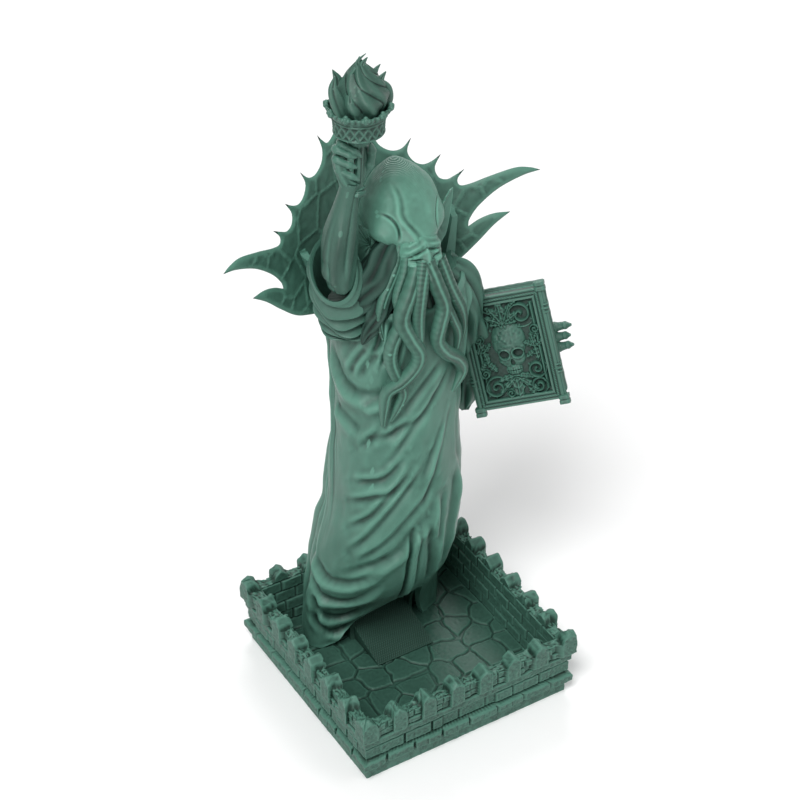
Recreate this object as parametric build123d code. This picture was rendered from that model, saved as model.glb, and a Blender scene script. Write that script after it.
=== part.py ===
from build123d import *
import os
from math import sin, cos, tan, atan2, radians, degrees, pi, sqrt, hypot

# Dice tower: a robed, tentacle-faced figure with a raised torch, a book and a
# crest of wings, standing in a square castle-walled dice tray.
# Millimetres, +Z up, origin at the middle of the tray's underside.
# The figure faces -Y; its torch arm is on the -X side.

os.makedirs("parts", exist_ok=True)

# ---------------------------------------------------------------- dimensions
# tray
tray_inner = 37.0          # half width of the dice area
tray_base = 40.4           # half width of the base course
tray_plinth = 42.4         # half width of the plinth ledge
tray_mid = 40.3            # half width of the recessed wall
tray_corbel = 41.6         # half width of the corbel step
tray_outer = 43.0          # half width of the parapet
floor_t = 3.5              # floor thickness
base_z = 5.0               # top of the base course
plinth_z = 8.5             # top of the plinth ledge
corbel_z = 14.5            # underside of the corbel step
parapet_z = 18.5           # underside of the parapet
wall_z = 24.0              # top of the wall between merlons
merlon_n = 7               # merlon pitches on one side
merlon_w = 6.0             # merlon width
merlon_h = 3.0             # straight height of a merlon
merlon_cap = 1.6           # height of its pitched cap
paving_t = 0.8             # raised paving on the floor
groove = 0.7               # joint between flagstones

# robe: height, middle of the section in y, half width, half depth
robe_foot = floor_t + paving_t
skirt_top = 60.0
torso_top = 150.0
skirt_stations = [
    (robe_foot, 24.5, 27.5, 11.8),
    (16.0, 24.0, 27.3, 12.3),
    (26.0, 21.2, 27.0, 15.2),
    (36.0, 17.8, 26.4, 18.2),
    (46.0, 15.3, 26.0, 20.2),
    (skirt_top, 12.0, 25.6, 21.2),
]
torso_stations = [
    (skirt_top, 12.0, 25.6, 21.2),
    (75.0, 8.6, 23.8, 20.8),
    (90.0, 7.4, 22.6, 20.3),
    (105.0, 6.6, 21.5, 19.6),
    (125.0, 6.4, 21.4, 19.2),
    (torso_top, 6.6, 22.6, 19.4),
]
robe_wall = 2.4            # wall of the robe shell
door_half = 13.0           # half width between the doorway cheeks
door_spring = 19.0         # height where the doorway arch starts
door_crown = 29.0          # height of the crown of the arch

# hopper and shoulders
yoke_top = 160.0
yoke_outer = (10.8, 24.4, 23.0)    # middle y, half width, half depth at the top
hopper_in = (11.0, 20.6, 19.6)     # the same for the mouth of the chute
collar_top = 174.0

# chute
baffle_t = 2.0
baffle_tilt = 38.0
ramp_tilt = 17.0
cheek_t = 1.5

# head
head_c = (0.0, 4.0, 189.0)
mantle_stations = [(-17, 4.0), (-14, 9.0), (-8, 13.4), (-1, 14.8), (6, 12.8), (12, 8.2), (17, 1.6)]
face_c = (0.0, -6.0, 180.0)

# torch
torch_x, torch_y = -18.9, -4.0
handle_r = 1.6
cup_z0, cup_z1 = 222.0, 234.0
flame_z = 249.0

# book, tilted on the hand: centre, edge directions and sizes
book_c = (36.6, -5.0, 127.2)
book_right = (0.758, -0.590, 0.281)
book_front = (-0.653, -0.696, 0.2985)
book_w, book_h = 28.4, 38.6
cover_t, page_t = 1.6, 6.2

# wings
wing_t = 1.6


def save(shape, node):
    """Write one node; every node holds one solid."""
    solids = shape.solids()
    print(f"{node:26s} solids {len(solids)} volume {shape.volume:10.2f}")
    export_step(Compound(children=[]) if not solids else solids[0], f"parts/{node}.step")


def biggest(shape):
    """The largest solid of a boolean result."""
    return max(shape.solids(), key=lambda s: s.volume)


def block(x0, x1, y0, y1, z0, z1):
    """An axis-aligned box from its limits."""
    return Pos((x0 + x1) / 2, (y0 + y1) / 2, (z0 + z1) / 2) * Box(x1 - x0, y1 - y0, z1 - z0)


def oval(z, yc, a, b):
    """A horizontal ellipse centred on x = 0."""
    return Pos(0, yc, z) * Ellipse(a, b)


def oval_loft(stations, inset=0.0):
    """A smooth body through horizontal ellipses, drawn in by inset."""
    return loft([oval(z, yc, a - inset, b - inset) for z, yc, a, b in stations])


def limb(points, radii):
    """A round limb: cones between stations, with balls at the joints."""
    body = None
    for p, q, r0, r1 in zip(points, points[1:], radii, radii[1:]):
        axis = Vector(*q) - Vector(*p)
        seg = Plane(origin=p, z_dir=tuple(axis)) * Pos(0, 0, axis.length / 2)
        seg = seg * (Cone(r0, r1, axis.length) if abs(r0 - r1) > 1e-6 else Cylinder(r0, axis.length))
        body = seg if body is None else body + seg
    for p, r in zip(points[1:-1], radii[1:-1]):
        body = body + Pos(*p) * Sphere(r)
    return body


# ---------------------------------------------------------------- tray
tray = {}
tray["tray_floor"] = block(-tray_base, tray_base, -tray_base, tray_base, 0, floor_t)

# paving: one thin plate scored with an irregular bond of grooves
paving = block(-tray_inner, tray_inner, -tray_inner, tray_inner, floor_t, robe_foot)
rows = [-37, -24.5, -11, 0.5, 13, 26, 37]
for i, y in enumerate(rows[1:-1]):
    paving -= block(-40, 40, y - groove / 2, y + groove / 2, floor_t + 0.3, 9)
for i, (y0, y1) in enumerate(zip(rows, rows[1:])):
    for k in range(4):
        x = -26 + 17.5 * k + (6.5 if i % 2 else -1.5) + 1.5 * ((i * 2 + k) % 3)
        if abs(x) < 35:
            paving -= block(x - groove / 2, x + groove / 2, y0, y1, floor_t + 0.3, 9)
tray["tray_paving"] = paving

# one ring of wall, cut on the diagonals into four sides
levels = [(floor_t, base_z, tray_base), (base_z, plinth_z, tray_plinth),
          (plinth_z, corbel_z, tray_mid), (corbel_z, parapet_z, tray_corbel)]
inside = block(-tray_inner, tray_inner, -tray_inner, tray_inner, -1, 40)
ring = None
for z0, z1, h in levels:
    step = block(-h, h, -h, h, z0, z1)
    ring = step if ring is None else ring + step
ring = ring - inside
parapet = block(-tray_outer, tray_outer, -tray_outer, tray_outer, parapet_z, wall_z) - inside


def side_wedge(turn):
    """The quarter of the plan that belongs to the side facing -Y, turned."""
    tri = Polygon((0, 0), (-60, -60), (60, -60), align=None)
    return Rot(0, 0, turn) * extrude(tri, 60)


merlon_mid = (tray_inner + tray_outer) / 2
merlon_span = 2 * (tray_outer - merlon_w / 2)
for name, turn in (("front", 0), ("right", 90), ("back", 180), ("left", 270)):
    tray[f"tray_wall_{name}"] = ring & side_wedge(turn)
    rail = parapet & side_wedge(turn)
    caps = None
    depth = tray_outer - tray_inner
    for k in range(merlon_n):
        x = -merlon_span / 2 + merlon_span * k / merlon_n
        profile = Polygon((-merlon_w / 2, 0), (merlon_w / 2, 0), (merlon_w / 2, merlon_h),
                          (0, merlon_h + merlon_cap), (-merlon_w / 2, merlon_h), align=None)
        tooth = Pos(x, -merlon_mid + depth / 2, wall_z) * (Rot(90, 0, 0) * extrude(profile, depth))
        caps = tooth if caps is None else caps + tooth
    tray[f"parapet_{name}"] = rail
    tray[f"merlons_{name}"] = Rot(0, 0, turn) * caps

# the rail and its merlons are one course of the wall
for name in ("front", "right", "back", "left"):
    teeth = tray.pop(f"merlons_{name}")
    tray[f"parapet_{name}"] = tray[f"parapet_{name}"] + teeth

# ---------------------------------------------------------------- robe
tower = {}
skirt_out = oval_loft(skirt_stations)
skirt_in = oval_loft(skirt_stations, robe_wall)
torso_out = oval_loft(torso_stations)
torso_in = oval_loft(torso_stations, robe_wall)

arch = (Rectangle(2 * door_half, 2 * door_spring)
        + Pos(0, door_spring) * Ellipse(door_half, door_crown - door_spring))
door = Pos(0, 20, 0) * extrude(Plane.XZ * arch, 46)
tower["robe_skirt"] = biggest(skirt_out - skirt_in - door)
tower["robe_torso"] = torso_out - torso_in

# shoulders, with the mouth of the chute behind the head
z_mid = (torso_top + yoke_top) / 2
yoke_out = loft([oval(torso_top, 6.6, 22.6, 19.4), oval(z_mid, 8.0, 25.0, 21.2),
                 oval(yoke_top, *yoke_outer)])
yoke_in = loft([oval(torso_top, 6.6, 22.6 - robe_wall, 19.4 - robe_wall),
                oval(yoke_top, *hopper_in)])
tower["shoulder_yoke"] = yoke_out - yoke_in

# bridge that carries the head over the front of the chute
bridge_z = yoke_top - 4.0
bridge = block(-40, 40, -40, 4.0, bridge_z, yoke_top) & yoke_in
tower["head_bridge"] = biggest(bridge)

# collar: flared back wall of the hopper, open to the front
collar_out = loft([oval(yoke_top, *yoke_outer), oval(collar_top, 14.0, 27.6, 23.0)])
collar_in = loft([oval(yoke_top, *hopper_in), oval(collar_top, 14.0, 25.4, 20.8)])
collar = (collar_out - collar_in) & block(-60, 60, 12.0, 60, 100, 200)
tower["hopper_collar"] = biggest(collar)

# ---------------------------------------------------------------- chute
def baffle(z, from_back, cavity):
    """A sloping plate across the chute, fixed along the back or the front wall."""
    s = 1 if from_back else -1
    y_wall = 30.0 if from_back else -16.0
    plate = block(-30, 30, -20.0, 6.0, -baffle_t / 2, baffle_t / 2)
    if not from_back:
        plate = Rot(0, 0, 180) * plate
    plate = Rot(s * baffle_tilt, 0, 0) * plate
    return biggest((Pos(0, y_wall, z) * plate) & cavity)


tower["baffle_upper"] = baffle(140.0, True, torso_in)
tower["baffle_middle"] = baffle(112.0, False, torso_in)
tower["baffle_lower"] = baffle(86.0, True, torso_in)

# exit ramp: a steep back part running out into a gentle front part
ramp_y0, ramp_y1, ramp_y2 = 0.0, 21.0, 36.0
ramp_z0 = robe_foot
ramp_z1 = ramp_z0 + (ramp_y1 - ramp_y0) * tan(radians(ramp_tilt))
ramp_z2 = ramp_z1 + (ramp_y2 - ramp_y1) * tan(radians(52))
side = Polygon((ramp_y0, ramp_z0), (ramp_y2, ramp_z0), (ramp_y2, ramp_z2),
               (ramp_y1, ramp_z1), align=None)
wedge = extrude(Plane.YZ * side, door_half - cheek_t, both=True)
tower["exit_ramp"] = biggest(wedge & (skirt_in + block(-40, 40, -5, 20, 0, 18)))

# cheeks: side walls of the exit, with a foot that slants forward
for name, s in (("left", -1), ("right", 1)):
    outline = Polygon((-0.2, robe_foot), (30.0, robe_foot), (30.0, 30.0), (5.0, 30.0),
                      (5.0, robe_foot + 5.6), align=None)
    plate = Pos(s * (door_half - cheek_t / 2) - cheek_t / 2, 0, 0) * extrude(Plane.YZ * outline, cheek_t)
    hull = skirt_in + (block(-40, 40, -5, 14, 0, 40) - skirt_out)
    tower[f"door_cheek_{name}"] = biggest(plate & hull - tower["exit_ramp"])

# ---------------------------------------------------------------- head
head = Pos(*head_c) * (Rot(-16, 0, 0) * loft([Pos(0, 0, z) * Ellipse(r, 0.84 * r)
                                              for z, r in mantle_stations]))
neck = limb([(0, -3.5, yoke_top), (0, -2, 170), (0, 0, 180)], [8.5, 8.0, 9.5])
face = Pos(*face_c) * scale(Sphere(1), (9.5, 7.6, 9.0))
tower["mantle"] = head
tower["neck"] = biggest(neck - head - tower["head_bridge"])
tower["face"] = biggest(face - head - tower["neck"])
fin = extrude(Polygon((-1, -6), (4.0, -1), (6.0, 8), (2.5, 10), (-1, 6), align=None), 0.8, both=True)
fin = Plane(origin=(12.0, 3.0, 179.0), x_dir=(1, 0.35, 0), z_dir=(0.35, -1, 0)) * fin
for name, shape in (("right", fin), ("left", mirror(fin, about=Plane.YZ))):
    tower[f"ear_fin_{name}"] = biggest(shape - head - tower["neck"])

# tentacles: tapering strands hanging down the chest
chest = torso_out + yoke_out
strands = {
    "tentacle_centre": ([(0.0, -14.4, 178), (-3.5, -15.6, 165), (-3.0, -16.0, 152),
                         (-2.6, -16.2, 143)], [3.0, 2.4, 2.0, 1.5]),
    "tentacle_left_inner": ([(-5.0, -13.0, 174), (-9.0, -14.4, 160), (-6.4, -16.0, 150),
                             (-3.0, -16.6, 136), (-8.0, -15.8, 129)], [2.6, 2.2, 2.0, 1.6, 1.3]),
    "tentacle_left_outer": ([(-9.5, -10.0, 174), (-12.4, -11.6, 158), (-11.6, -12.8, 143),
                             (-13.6, -11.8, 132), (-13.0, -11.8, 118)], [2.2, 2.0, 1.8, 1.5, 1.0]),
    "tentacle_right_inner": ([(5.0, -13.0, 174), (7.6, -14.2, 160), (6.4, -15.2, 148),
                              (9.6, -14.2, 138), (12.4, -12.6, 126)], [2.6, 2.2, 2.0, 1.6, 1.0]),
    "tentacle_right_outer": ([(9.5, -10.0, 174), (12.0, -11.4, 160), (13.4, -11.4, 146),
                              (11.6, -12.8, 137)], [2.2, 1.8, 1.5, 1.0]),
}
taken = head + tower["neck"] + tower["face"]
for name, (pts, rad) in strands.items():
    rope = biggest(limb(pts, rad) - chest - taken)
    tower[name] = rope
    taken = taken + rope

# ---------------------------------------------------------------- wings
def sheet(front, back):
    """A closed thin solid from two matching fans of points."""
    faces = []
    n = len(front)

    def tri(a, b, c):
        faces.append(make_face(Polyline(a, b, c, close=True)))

    for k in range(1, n - 1):
        tri(front[0], front[k], front[k + 1])
        tri(back[0], back[k + 1], back[k])
    for k in range(n):
        j = (k + 1) % n
        tri(front[k], back[k], back[j])
        tri(front[k], back[j], front[j])
    return Solid(Shell(faces))


# fan of one wing: root first, then tips and valleys from the crest to the shoulder
wing_rim = [
    (0.5, 36.6, 168.0), (0.5, 36.6, 204.0), (7.5, 34.8, 195.0), (11.1, 33.3, 202.0),
    (14.8, 33.0, 189.0), (19.8, 31.2, 193.4), (23.0, 29.6, 183.0), (27.9, 27.2, 186.5),
    (29.5, 25.4, 176.5), (34.4, 23.0, 181.5), (34.0, 21.6, 175.5), (44.0, 15.8, 176.5),
    (57.1, 8.8, 182.8), (46.0, 14.6, 171.6), (38.0, 18.2, 163.5), (47.0, 12.3, 167.5),
    (37.0, 15.0, 156.6), (27.4, 12.0, 154.5),
]
wing_root = (24.8, 21.6, 161.0)
for name, s in (("left", -1), ("right", 1)):
    rim = [(s * x, y, z) for x, y, z in wing_rim]
    root = (s * wing_root[0], wing_root[1], wing_root[2])
    front = [root] + rim
    back = [(x - s * 0.5, y + wing_t, z) for x, y, z in front]
    if s > 0:
        front, back = [front[0]] + front[:0:-1], [back[0]] + back[:0:-1]
    wing = sheet(front, back)
    if wing.volume < 0:
        wing = -wing
    tower[f"wing_{name}"] = biggest(wing - yoke_out - collar_out)

# ---------------------------------------------------------------- torch arm
shoulder_l = (-19.5, 4.0, 154.0)
elbow_l = (-27.0, 0.0, 177.0)
wrist_l = (-21.8, -3.6, 208.0)
torch_base = (torch_x + 0.8, torch_y, 206.0)
handle_top = (torch_x, torch_y, cup_z0)
upper = limb([shoulder_l, elbow_l], [8.6, 7.4])
cuff = limb([(-29.4, 1.0, 166.0), (-27.4, 0.0, 178.0)], [6.4, 8.2])
sleeve = upper + cuff + Pos(*elbow_l) * Sphere(7.4)
body_mass = yoke_out + torso_out + head + tower["neck"] + tower["ear_fin_left"]
tower["torch_sleeve"] = biggest(sleeve - body_mass - tower["wing_left"])
forearm = limb([elbow_l, (-25.6, -1.4, 190.0), wrist_l], [6.2, 5.6, 3.4])
handle = limb([torch_base, handle_top], [handle_r, handle_r])
tower["torch_forearm"] = biggest(forearm - tower["torch_sleeve"] - head - handle)
hand = limb([wrist_l, (-21.6, -4.0, 213.0), (-21.0, -4.4, 219.0)], [3.4, 4.0, 3.2])
hand = hand + Pos(-18.4, -4.2, 214.6) * scale(Sphere(1), (3.6, 4.2, 4.6))
tower["torch_hand"] = biggest(hand - handle - tower["torch_forearm"] - head)

# torch: gallery cup turned about its axis, then the flame
cup_line = Polyline((0, cup_z0), (3.0, cup_z0), (5.6, cup_z0 + 3.2), (7.8, cup_z0 + 4.6),
                    (8.6, cup_z0 + 9.0), (9.8, cup_z0 + 10.2), (9.8, cup_z1),
                    (7.8, cup_z1), (7.4, cup_z1 - 3.0), (0, cup_z1 - 3.0), close=True)
cup_face = make_face(Rot(90, 0, 0) * cup_line)
tower["torch_cup"] = Pos(torch_x, torch_y, 0) * revolve(cup_face, Axis.Z)
tower["torch_handle"] = biggest(handle - head - tower["torch_cup"])
flame = loft([Pos(torch_x, torch_y, cup_z1 - 3.0) * Circle(5.2),
              Pos(torch_x - 0.4, torch_y, cup_z1 + 3.4) * Circle(7.2),
              Pos(torch_x + 0.4, torch_y, cup_z1 + 6.5) * Circle(5.6),
              Pos(torch_x + 1.4, torch_y, flame_z - 3.2) * Circle(2.2),
              Pos(torch_x + 1.9, torch_y, flame_z) * Circle(0.5)])
tower["torch_flame"] = biggest(flame - tower["torch_cup"])

# ---------------------------------------------------------------- book
desk = Plane(origin=book_c, x_dir=book_right, z_dir=book_front)


def slab(x0, x1, y0, y1, z0, z1):
    """A box in the book's own plane: right, up the page, out of the cover."""
    return desk * block(x0, x1, y0, y1, z0, z1)


hw, hh = book_w / 2, book_h / 2
tower["book_cover_front"] = slab(-hw, hw, -hh, hh, -cover_t, 0)
tower["book_pages"] = slab(-hw + 1.2, hw - 1.2, -hh + 1.2, hh - 1.2, -cover_t - page_t, -cover_t)
tower["book_cover_back"] = slab(-hw, hw, -hh, hh, -2 * cover_t - page_t, -cover_t - page_t)
frame = slab(-hw, hw, -hh, hh, 0, 0.9) - slab(-hw + 3, hw - 3, -hh + 3, hh - 3, -1, 2)
tower["book_frame"] = frame
oval_plate = desk * (Pos(-1, -1, 0) * extrude(Ellipse(6.0, 8.4), 1.4))
tower["book_emblem"] = oval_plate
for name, x in (("left", -hw), ("right", hw)):
    rod = desk * (Pos(x, 0, -cover_t / 2) * (Rot(90, 0, 0) * Cylinder(1.2, book_h + 2.4)))
    others = tower["book_cover_front"] + frame
    tower[f"book_column_{name}"] = biggest(rod - others)

# book arm: sleeve from the shoulder, forearm behind the book, hand round its edge
back_z = -2 * cover_t - page_t
book_solid = slab(-hw, hw, -hh, hh, back_z, 0.9) + tower["book_column_right"]


def on_book(x, y, z):
    """A point given in the book's own plane."""
    return tuple((desk * Pos(x, y, z)).position)


shoulder_r = (19.5, 5.0, 152.0)
elbow_r = (29.5, 12.0, 122.0)
arm = limb([shoulder_r, elbow_r], [8.6, 7.6]) + Pos(*elbow_r) * Sphere(7.6)
arm = arm + limb([elbow_r, on_book(0, -4, back_z - 4.0)], [7.6, 4.6])
arm = arm + limb([elbow_r, (27.4, 7.4, 104.0)], [7.4, 4.6])
tower["book_sleeve"] = biggest(arm - body_mass - book_solid - tower["book_column_left"]
                               - tower["wing_right"])
palm = limb([on_book(-1, -4, back_z - 3.4), on_book(9, 0, back_z - 3.0)], [3.2, 3.0])
palm = palm + slab(6, hw - 1.0, -4.6, 6.2, back_z - 3.4, back_z)
tower["book_hand"] = biggest(palm - tower["book_sleeve"] - book_solid)
for k, (y, reach) in enumerate(((4.6, 6.6), (0.8, 5.2), (-3.0, 5.6))):
    knuckle, tip = on_book(hw - 1.2, y, back_z - 1.5), on_book(hw + reach, y + 1.0, back_z - 0.6)
    finger = limb([knuckle, tip], [1.5, 1.0]) + Pos(*tip) * Sphere(1.0)
    tower[f"book_finger_{k + 1}"] = biggest(finger - book_solid - tower["book_hand"])

# ---------------------------------------------------------------- write
for node, shape in {**tray, **tower}.items():
    save(shape, node)
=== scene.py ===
import bpy
import numpy as np
from math import radians
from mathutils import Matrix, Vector
from mathutils.geometry import delaunay_2d_cdt, tessellate_polygon


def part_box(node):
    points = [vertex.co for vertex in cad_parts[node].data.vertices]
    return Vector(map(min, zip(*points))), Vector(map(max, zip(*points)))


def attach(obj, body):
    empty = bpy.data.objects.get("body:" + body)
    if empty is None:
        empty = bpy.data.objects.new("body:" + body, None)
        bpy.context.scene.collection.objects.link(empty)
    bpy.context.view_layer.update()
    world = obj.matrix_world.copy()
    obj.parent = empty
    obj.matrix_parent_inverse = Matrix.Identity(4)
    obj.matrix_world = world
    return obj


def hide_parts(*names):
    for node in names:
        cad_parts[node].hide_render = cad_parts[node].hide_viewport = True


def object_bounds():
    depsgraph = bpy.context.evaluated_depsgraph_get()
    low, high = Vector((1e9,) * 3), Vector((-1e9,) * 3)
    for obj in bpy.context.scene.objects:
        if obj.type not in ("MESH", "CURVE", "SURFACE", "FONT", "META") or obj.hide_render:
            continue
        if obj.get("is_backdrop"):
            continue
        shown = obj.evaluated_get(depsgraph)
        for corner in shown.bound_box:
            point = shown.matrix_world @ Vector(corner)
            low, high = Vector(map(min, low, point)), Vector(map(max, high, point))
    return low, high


# Dice tower: a robed, tentacle-faced figure standing in a castle-walled dice tray,
# printed in a silky grey-green plastic. Shapes are in millimetres and scaled on the way in.
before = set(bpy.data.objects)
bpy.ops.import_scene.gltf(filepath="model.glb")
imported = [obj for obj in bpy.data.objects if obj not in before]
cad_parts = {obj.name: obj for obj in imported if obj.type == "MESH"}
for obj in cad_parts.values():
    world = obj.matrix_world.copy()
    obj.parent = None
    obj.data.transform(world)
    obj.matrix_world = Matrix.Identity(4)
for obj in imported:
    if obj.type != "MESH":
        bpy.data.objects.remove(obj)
cad_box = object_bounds()
mm = 0.001

# ---------------------------------------------------------------- studio
# A pale seamless floor, a large soft key light from the front left, a fill on the right and
# a weak light behind, with the camera above and to the left of the figure's face.
scene = bpy.context.scene
scene.view_settings.view_transform = "Standard"
camera = bpy.data.objects.new("camera", bpy.data.cameras.new("camera"))
scene.collection.objects.link(camera)
scene.camera = camera
camera.data.lens = 99
camera.data.sensor_width = 36
camera.location = Vector((-298.7, -482.9, 549.6)) * mm
aim = Vector((62.7, 106.3, 24.0)) * mm
camera.rotation_euler = (aim - camera.location).to_track_quat("-Z", "Y").to_euler()


def add_node(tree, kind, inputs=(), **settings):
    """One node with its settings, and each input either joined to a socket or set to a value."""
    node = tree.nodes.new("ShaderNode" + kind)
    for key, value in settings.items():
        setattr(node, key, value)
    for key, value in dict(inputs).items():
        if isinstance(value, bpy.types.NodeSocket):
            tree.links.new(value, node.inputs[key])
        else:
            node.inputs[key].default_value = value
    return node


world = bpy.data.worlds.new("studio")
scene.world = world
world.use_nodes = True
sky = world.node_tree
sky.nodes["Background"].inputs["Color"].default_value = (1, 1, 1, 1)
# the light from all round is weak, but a view past the floor's edge still sees a pale backdrop
seen = add_node(sky, "LightPath")
strength = add_node(sky, "MapRange", {"Value": seen.outputs["Is Camera Ray"], "To Min": 0.36, "To Max": 0.95})
sky.links.new(strength.outputs[0], sky.nodes["Background"].inputs["Strength"])

for name, place, size, power in (("key", (-0.62, -0.50, 1.30), 0.6, 19.0),
                                 ("fill", (0.9, -0.8, 0.7), 0.9, 3.0),
                                 ("rim", (0.5, 0.9, 0.9), 0.6, 6.0)):
    lamp = bpy.data.lights.new(name, "AREA")
    lamp.size = size
    lamp.energy = power
    lamp_object = bpy.data.objects.new(name, lamp)
    scene.collection.objects.link(lamp_object)
    lamp_object.location = place
    lamp_object.rotation_euler = (Vector((0, 0, 0.1)) - Vector(place)).to_track_quat("-Z", "Y").to_euler()

floor_half = 4.0
floor_mesh = bpy.data.meshes.new("studio_floor")
floor_mesh.from_pydata([(x * floor_half, y * floor_half, 0) for x, y in ((-1, -1), (1, -1), (1, 1), (-1, 1))],
                       [], [(0, 1, 2, 3)])
studio_floor = bpy.data.objects.new("studio_floor", floor_mesh)
scene.collection.objects.link(studio_floor)
paper = bpy.data.materials.new("paper")
paper.use_nodes = True
paper_shader = paper.node_tree.nodes["Principled BSDF"]
paper_shader.inputs["Roughness"].default_value = 0.9
mottle = add_node(paper.node_tree, "TexNoise", {"Scale": 3.0})
paper_tone = add_node(paper.node_tree, "Mix", data_type="RGBA")
paper_tone.inputs["A"].default_value = (0.90, 0.90, 0.90, 1)
paper_tone.inputs["B"].default_value = (0.94, 0.94, 0.94, 1)
paper.node_tree.links.new(mottle.outputs["Fac"], paper_tone.inputs["Factor"])
paper.node_tree.links.new(paper_tone.outputs["Result"], paper_shader.inputs["Base Color"])
floor_mesh.materials.append(paper)
studio_floor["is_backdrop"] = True

# ---------------------------------------------------------------- printed plastic
# Everything is printed in one silky plastic. Two effects make its finish: the fine level
# lines that the printer's layers leave, and a tone that deepens in hollows and pales on edges,
# which is painted shade in the hollows and a painted highlight on the edges, over a random mottle.
layer_lines = bpy.data.node_groups.new("layer_lines", "ShaderNodeTree")
for socket, way in (("Pitch", "INPUT"), ("Wander", "INPUT"), ("Height", "OUTPUT")):
    layer_lines.interface.new_socket(socket, in_out=way, socket_type="NodeSocketFloat")
given = layer_lines.nodes.new("NodeGroupInput")
place = add_node(layer_lines, "TexCoord")
axes = add_node(layer_lines, "SeparateXYZ", {0: place.outputs["Object"]})
turns = add_node(layer_lines, "Math", {0: axes.outputs["Z"], 1: given.outputs["Pitch"]}, operation="DIVIDE")
drift = add_node(layer_lines, "TexNoise", {"Vector": place.outputs["Object"], "Scale": 90.0, "Detail": 1.0})
push = add_node(layer_lines, "Math", {0: drift.outputs["Fac"], 1: given.outputs["Wander"],
                                      2: turns.outputs[0]}, operation="MULTIPLY_ADD")
angle = add_node(layer_lines, "Math", {0: push.outputs[0], 1: 2 * np.pi}, operation="MULTIPLY")
wave = add_node(layer_lines, "Math", {0: angle.outputs[0]}, operation="SINE")
given_back = layer_lines.nodes.new("NodeGroupOutput")
layer_lines.links.new(wave.outputs[0], given_back.inputs["Height"])

tone_and_painted_shade = bpy.data.node_groups.new("tone_and_painted_shade", "ShaderNodeTree")
for socket, way, kind in (("Lit", "INPUT", "Color"), ("Painted Shade", "INPUT", "Color"), ("Rough", "INPUT", "Float"),
                          ("Color", "OUTPUT", "Color"), ("Roughness", "OUTPUT", "Float")):
    tone_and_painted_shade.interface.new_socket(socket, in_out=way, socket_type="NodeSocket" + kind)
given = tone_and_painted_shade.nodes.new("NodeGroupInput")
place = add_node(tone_and_painted_shade, "TexCoord")
shape = add_node(tone_and_painted_shade, "NewGeometry")
cloud = add_node(tone_and_painted_shade, "TexNoise", {"Vector": place.outputs["Object"], "Scale": 45.0, "Detail": 3.0})
grain = add_node(tone_and_painted_shade, "TexNoise", {"Vector": place.outputs["Object"], "Scale": 900.0, "Detail": 2.0})
# painted shade: hollows in the mesh take the darker colour, and edges take the lit one as a painted highlight
hollow = add_node(tone_and_painted_shade, "MapRange", {"Value": shape.outputs["Pointiness"], "From Min": 0.465,
                                             "From Max": 0.525})
mottle = add_node(tone_and_painted_shade, "MapRange", {"Value": cloud.outputs["Fac"], "From Min": 0.3, "From Max": 0.7,
                                             "To Min": -0.12, "To Max": 0.12})
speck = add_node(tone_and_painted_shade, "MapRange", {"Value": grain.outputs["Fac"], "To Min": -0.08, "To Max": 0.08})
both = add_node(tone_and_painted_shade, "Math", {0: mottle.outputs[0], 1: speck.outputs[0]}, operation="ADD")
shade_and_mottle = add_node(tone_and_painted_shade, "Math", {0: hollow.outputs[0], 1: both.outputs[0]}, operation="ADD")
blend = add_node(tone_and_painted_shade, "Mix", {"Factor": shade_and_mottle.outputs[0], "A": given.outputs["Painted Shade"],
                                       "B": given.outputs["Lit"]}, data_type="RGBA")
rough = add_node(tone_and_painted_shade, "Math", {0: both.outputs[0], 1: 0.5, 2: given.outputs["Rough"]},
                 operation="MULTIPLY_ADD")
given_back = tone_and_painted_shade.nodes.new("NodeGroupOutput")
tone_and_painted_shade.links.new(blend.outputs["Result"], given_back.inputs["Color"])
tone_and_painted_shade.links.new(rough.outputs[0], given_back.inputs["Roughness"])


layer_pitch = 0.28


def print_plastic(name, lit, deep, rough, depth=0.05, gloss=0.10):
    """Printed plastic: a lit tone and a darker one that is painted shade in hollows, a roughness, layer lines
    of that depth in mm, a coat's weight.
    """
    material = bpy.data.materials.new(name)
    material.use_nodes = True
    tree = material.node_tree
    shader = tree.nodes["Principled BSDF"]
    tone = add_node(tree, "Group", node_tree=tone_and_painted_shade)
    lines = add_node(tree, "Group", node_tree=layer_lines)
    bump = add_node(tree, "Bump", {"Height": lines.outputs["Height"]})
    tree.links.new(tone.outputs["Color"], shader.inputs["Base Color"])
    tree.links.new(tone.outputs["Roughness"], shader.inputs["Roughness"])
    tree.links.new(bump.outputs["Normal"], shader.inputs["Normal"])
    for node, key, value in ((tone, "Lit", (*lit, 1)), (tone, "Painted Shade", (*deep, 1)), (tone, "Rough", rough),
                             (lines, "Pitch", layer_pitch * mm), (lines, "Wander", 0.6),
                             (bump, "Distance", depth * mm), (bump, "Strength", 0.6),
                             (shader, "Coat Weight", gloss), (shader, "Coat Roughness", 0.35),
                             (shader, "Specular IOR Level", 0.32)):
        node.inputs[key].default_value = value
    return material


tray_plastic = print_plastic("tray_plastic", (0.071, 0.186, 0.140), (0.013, 0.040, 0.028), 0.52)

# ---------------------------------------------------------------- tray walls
# Four castle walls, printed with the tray: a set-back foot, a plinth of long blocks, a course
# of large bricks, a worn ledge, and a parapet whose merlons run down the face as pilasters.


def lump(points, size, seed=0.0):
    """Smooth random relief from -1 to 1: random values on a lattice, blended between corners."""
    q = points / size + seed
    low = np.floor(q)
    part = q - low
    part = part * part * (3 - 2 * part)
    total = 0.0
    for corner in np.ndindex(2, 2, 2):
        value = np.sin((low + corner) @ np.array([127.1, 311.7, 74.7]) + seed) * 43758.5453
        weight = np.prod(np.where(corner, part, 1 - part), -1)
        total = total + weight * (value - np.floor(value))
    return 2 * total - 1


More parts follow.
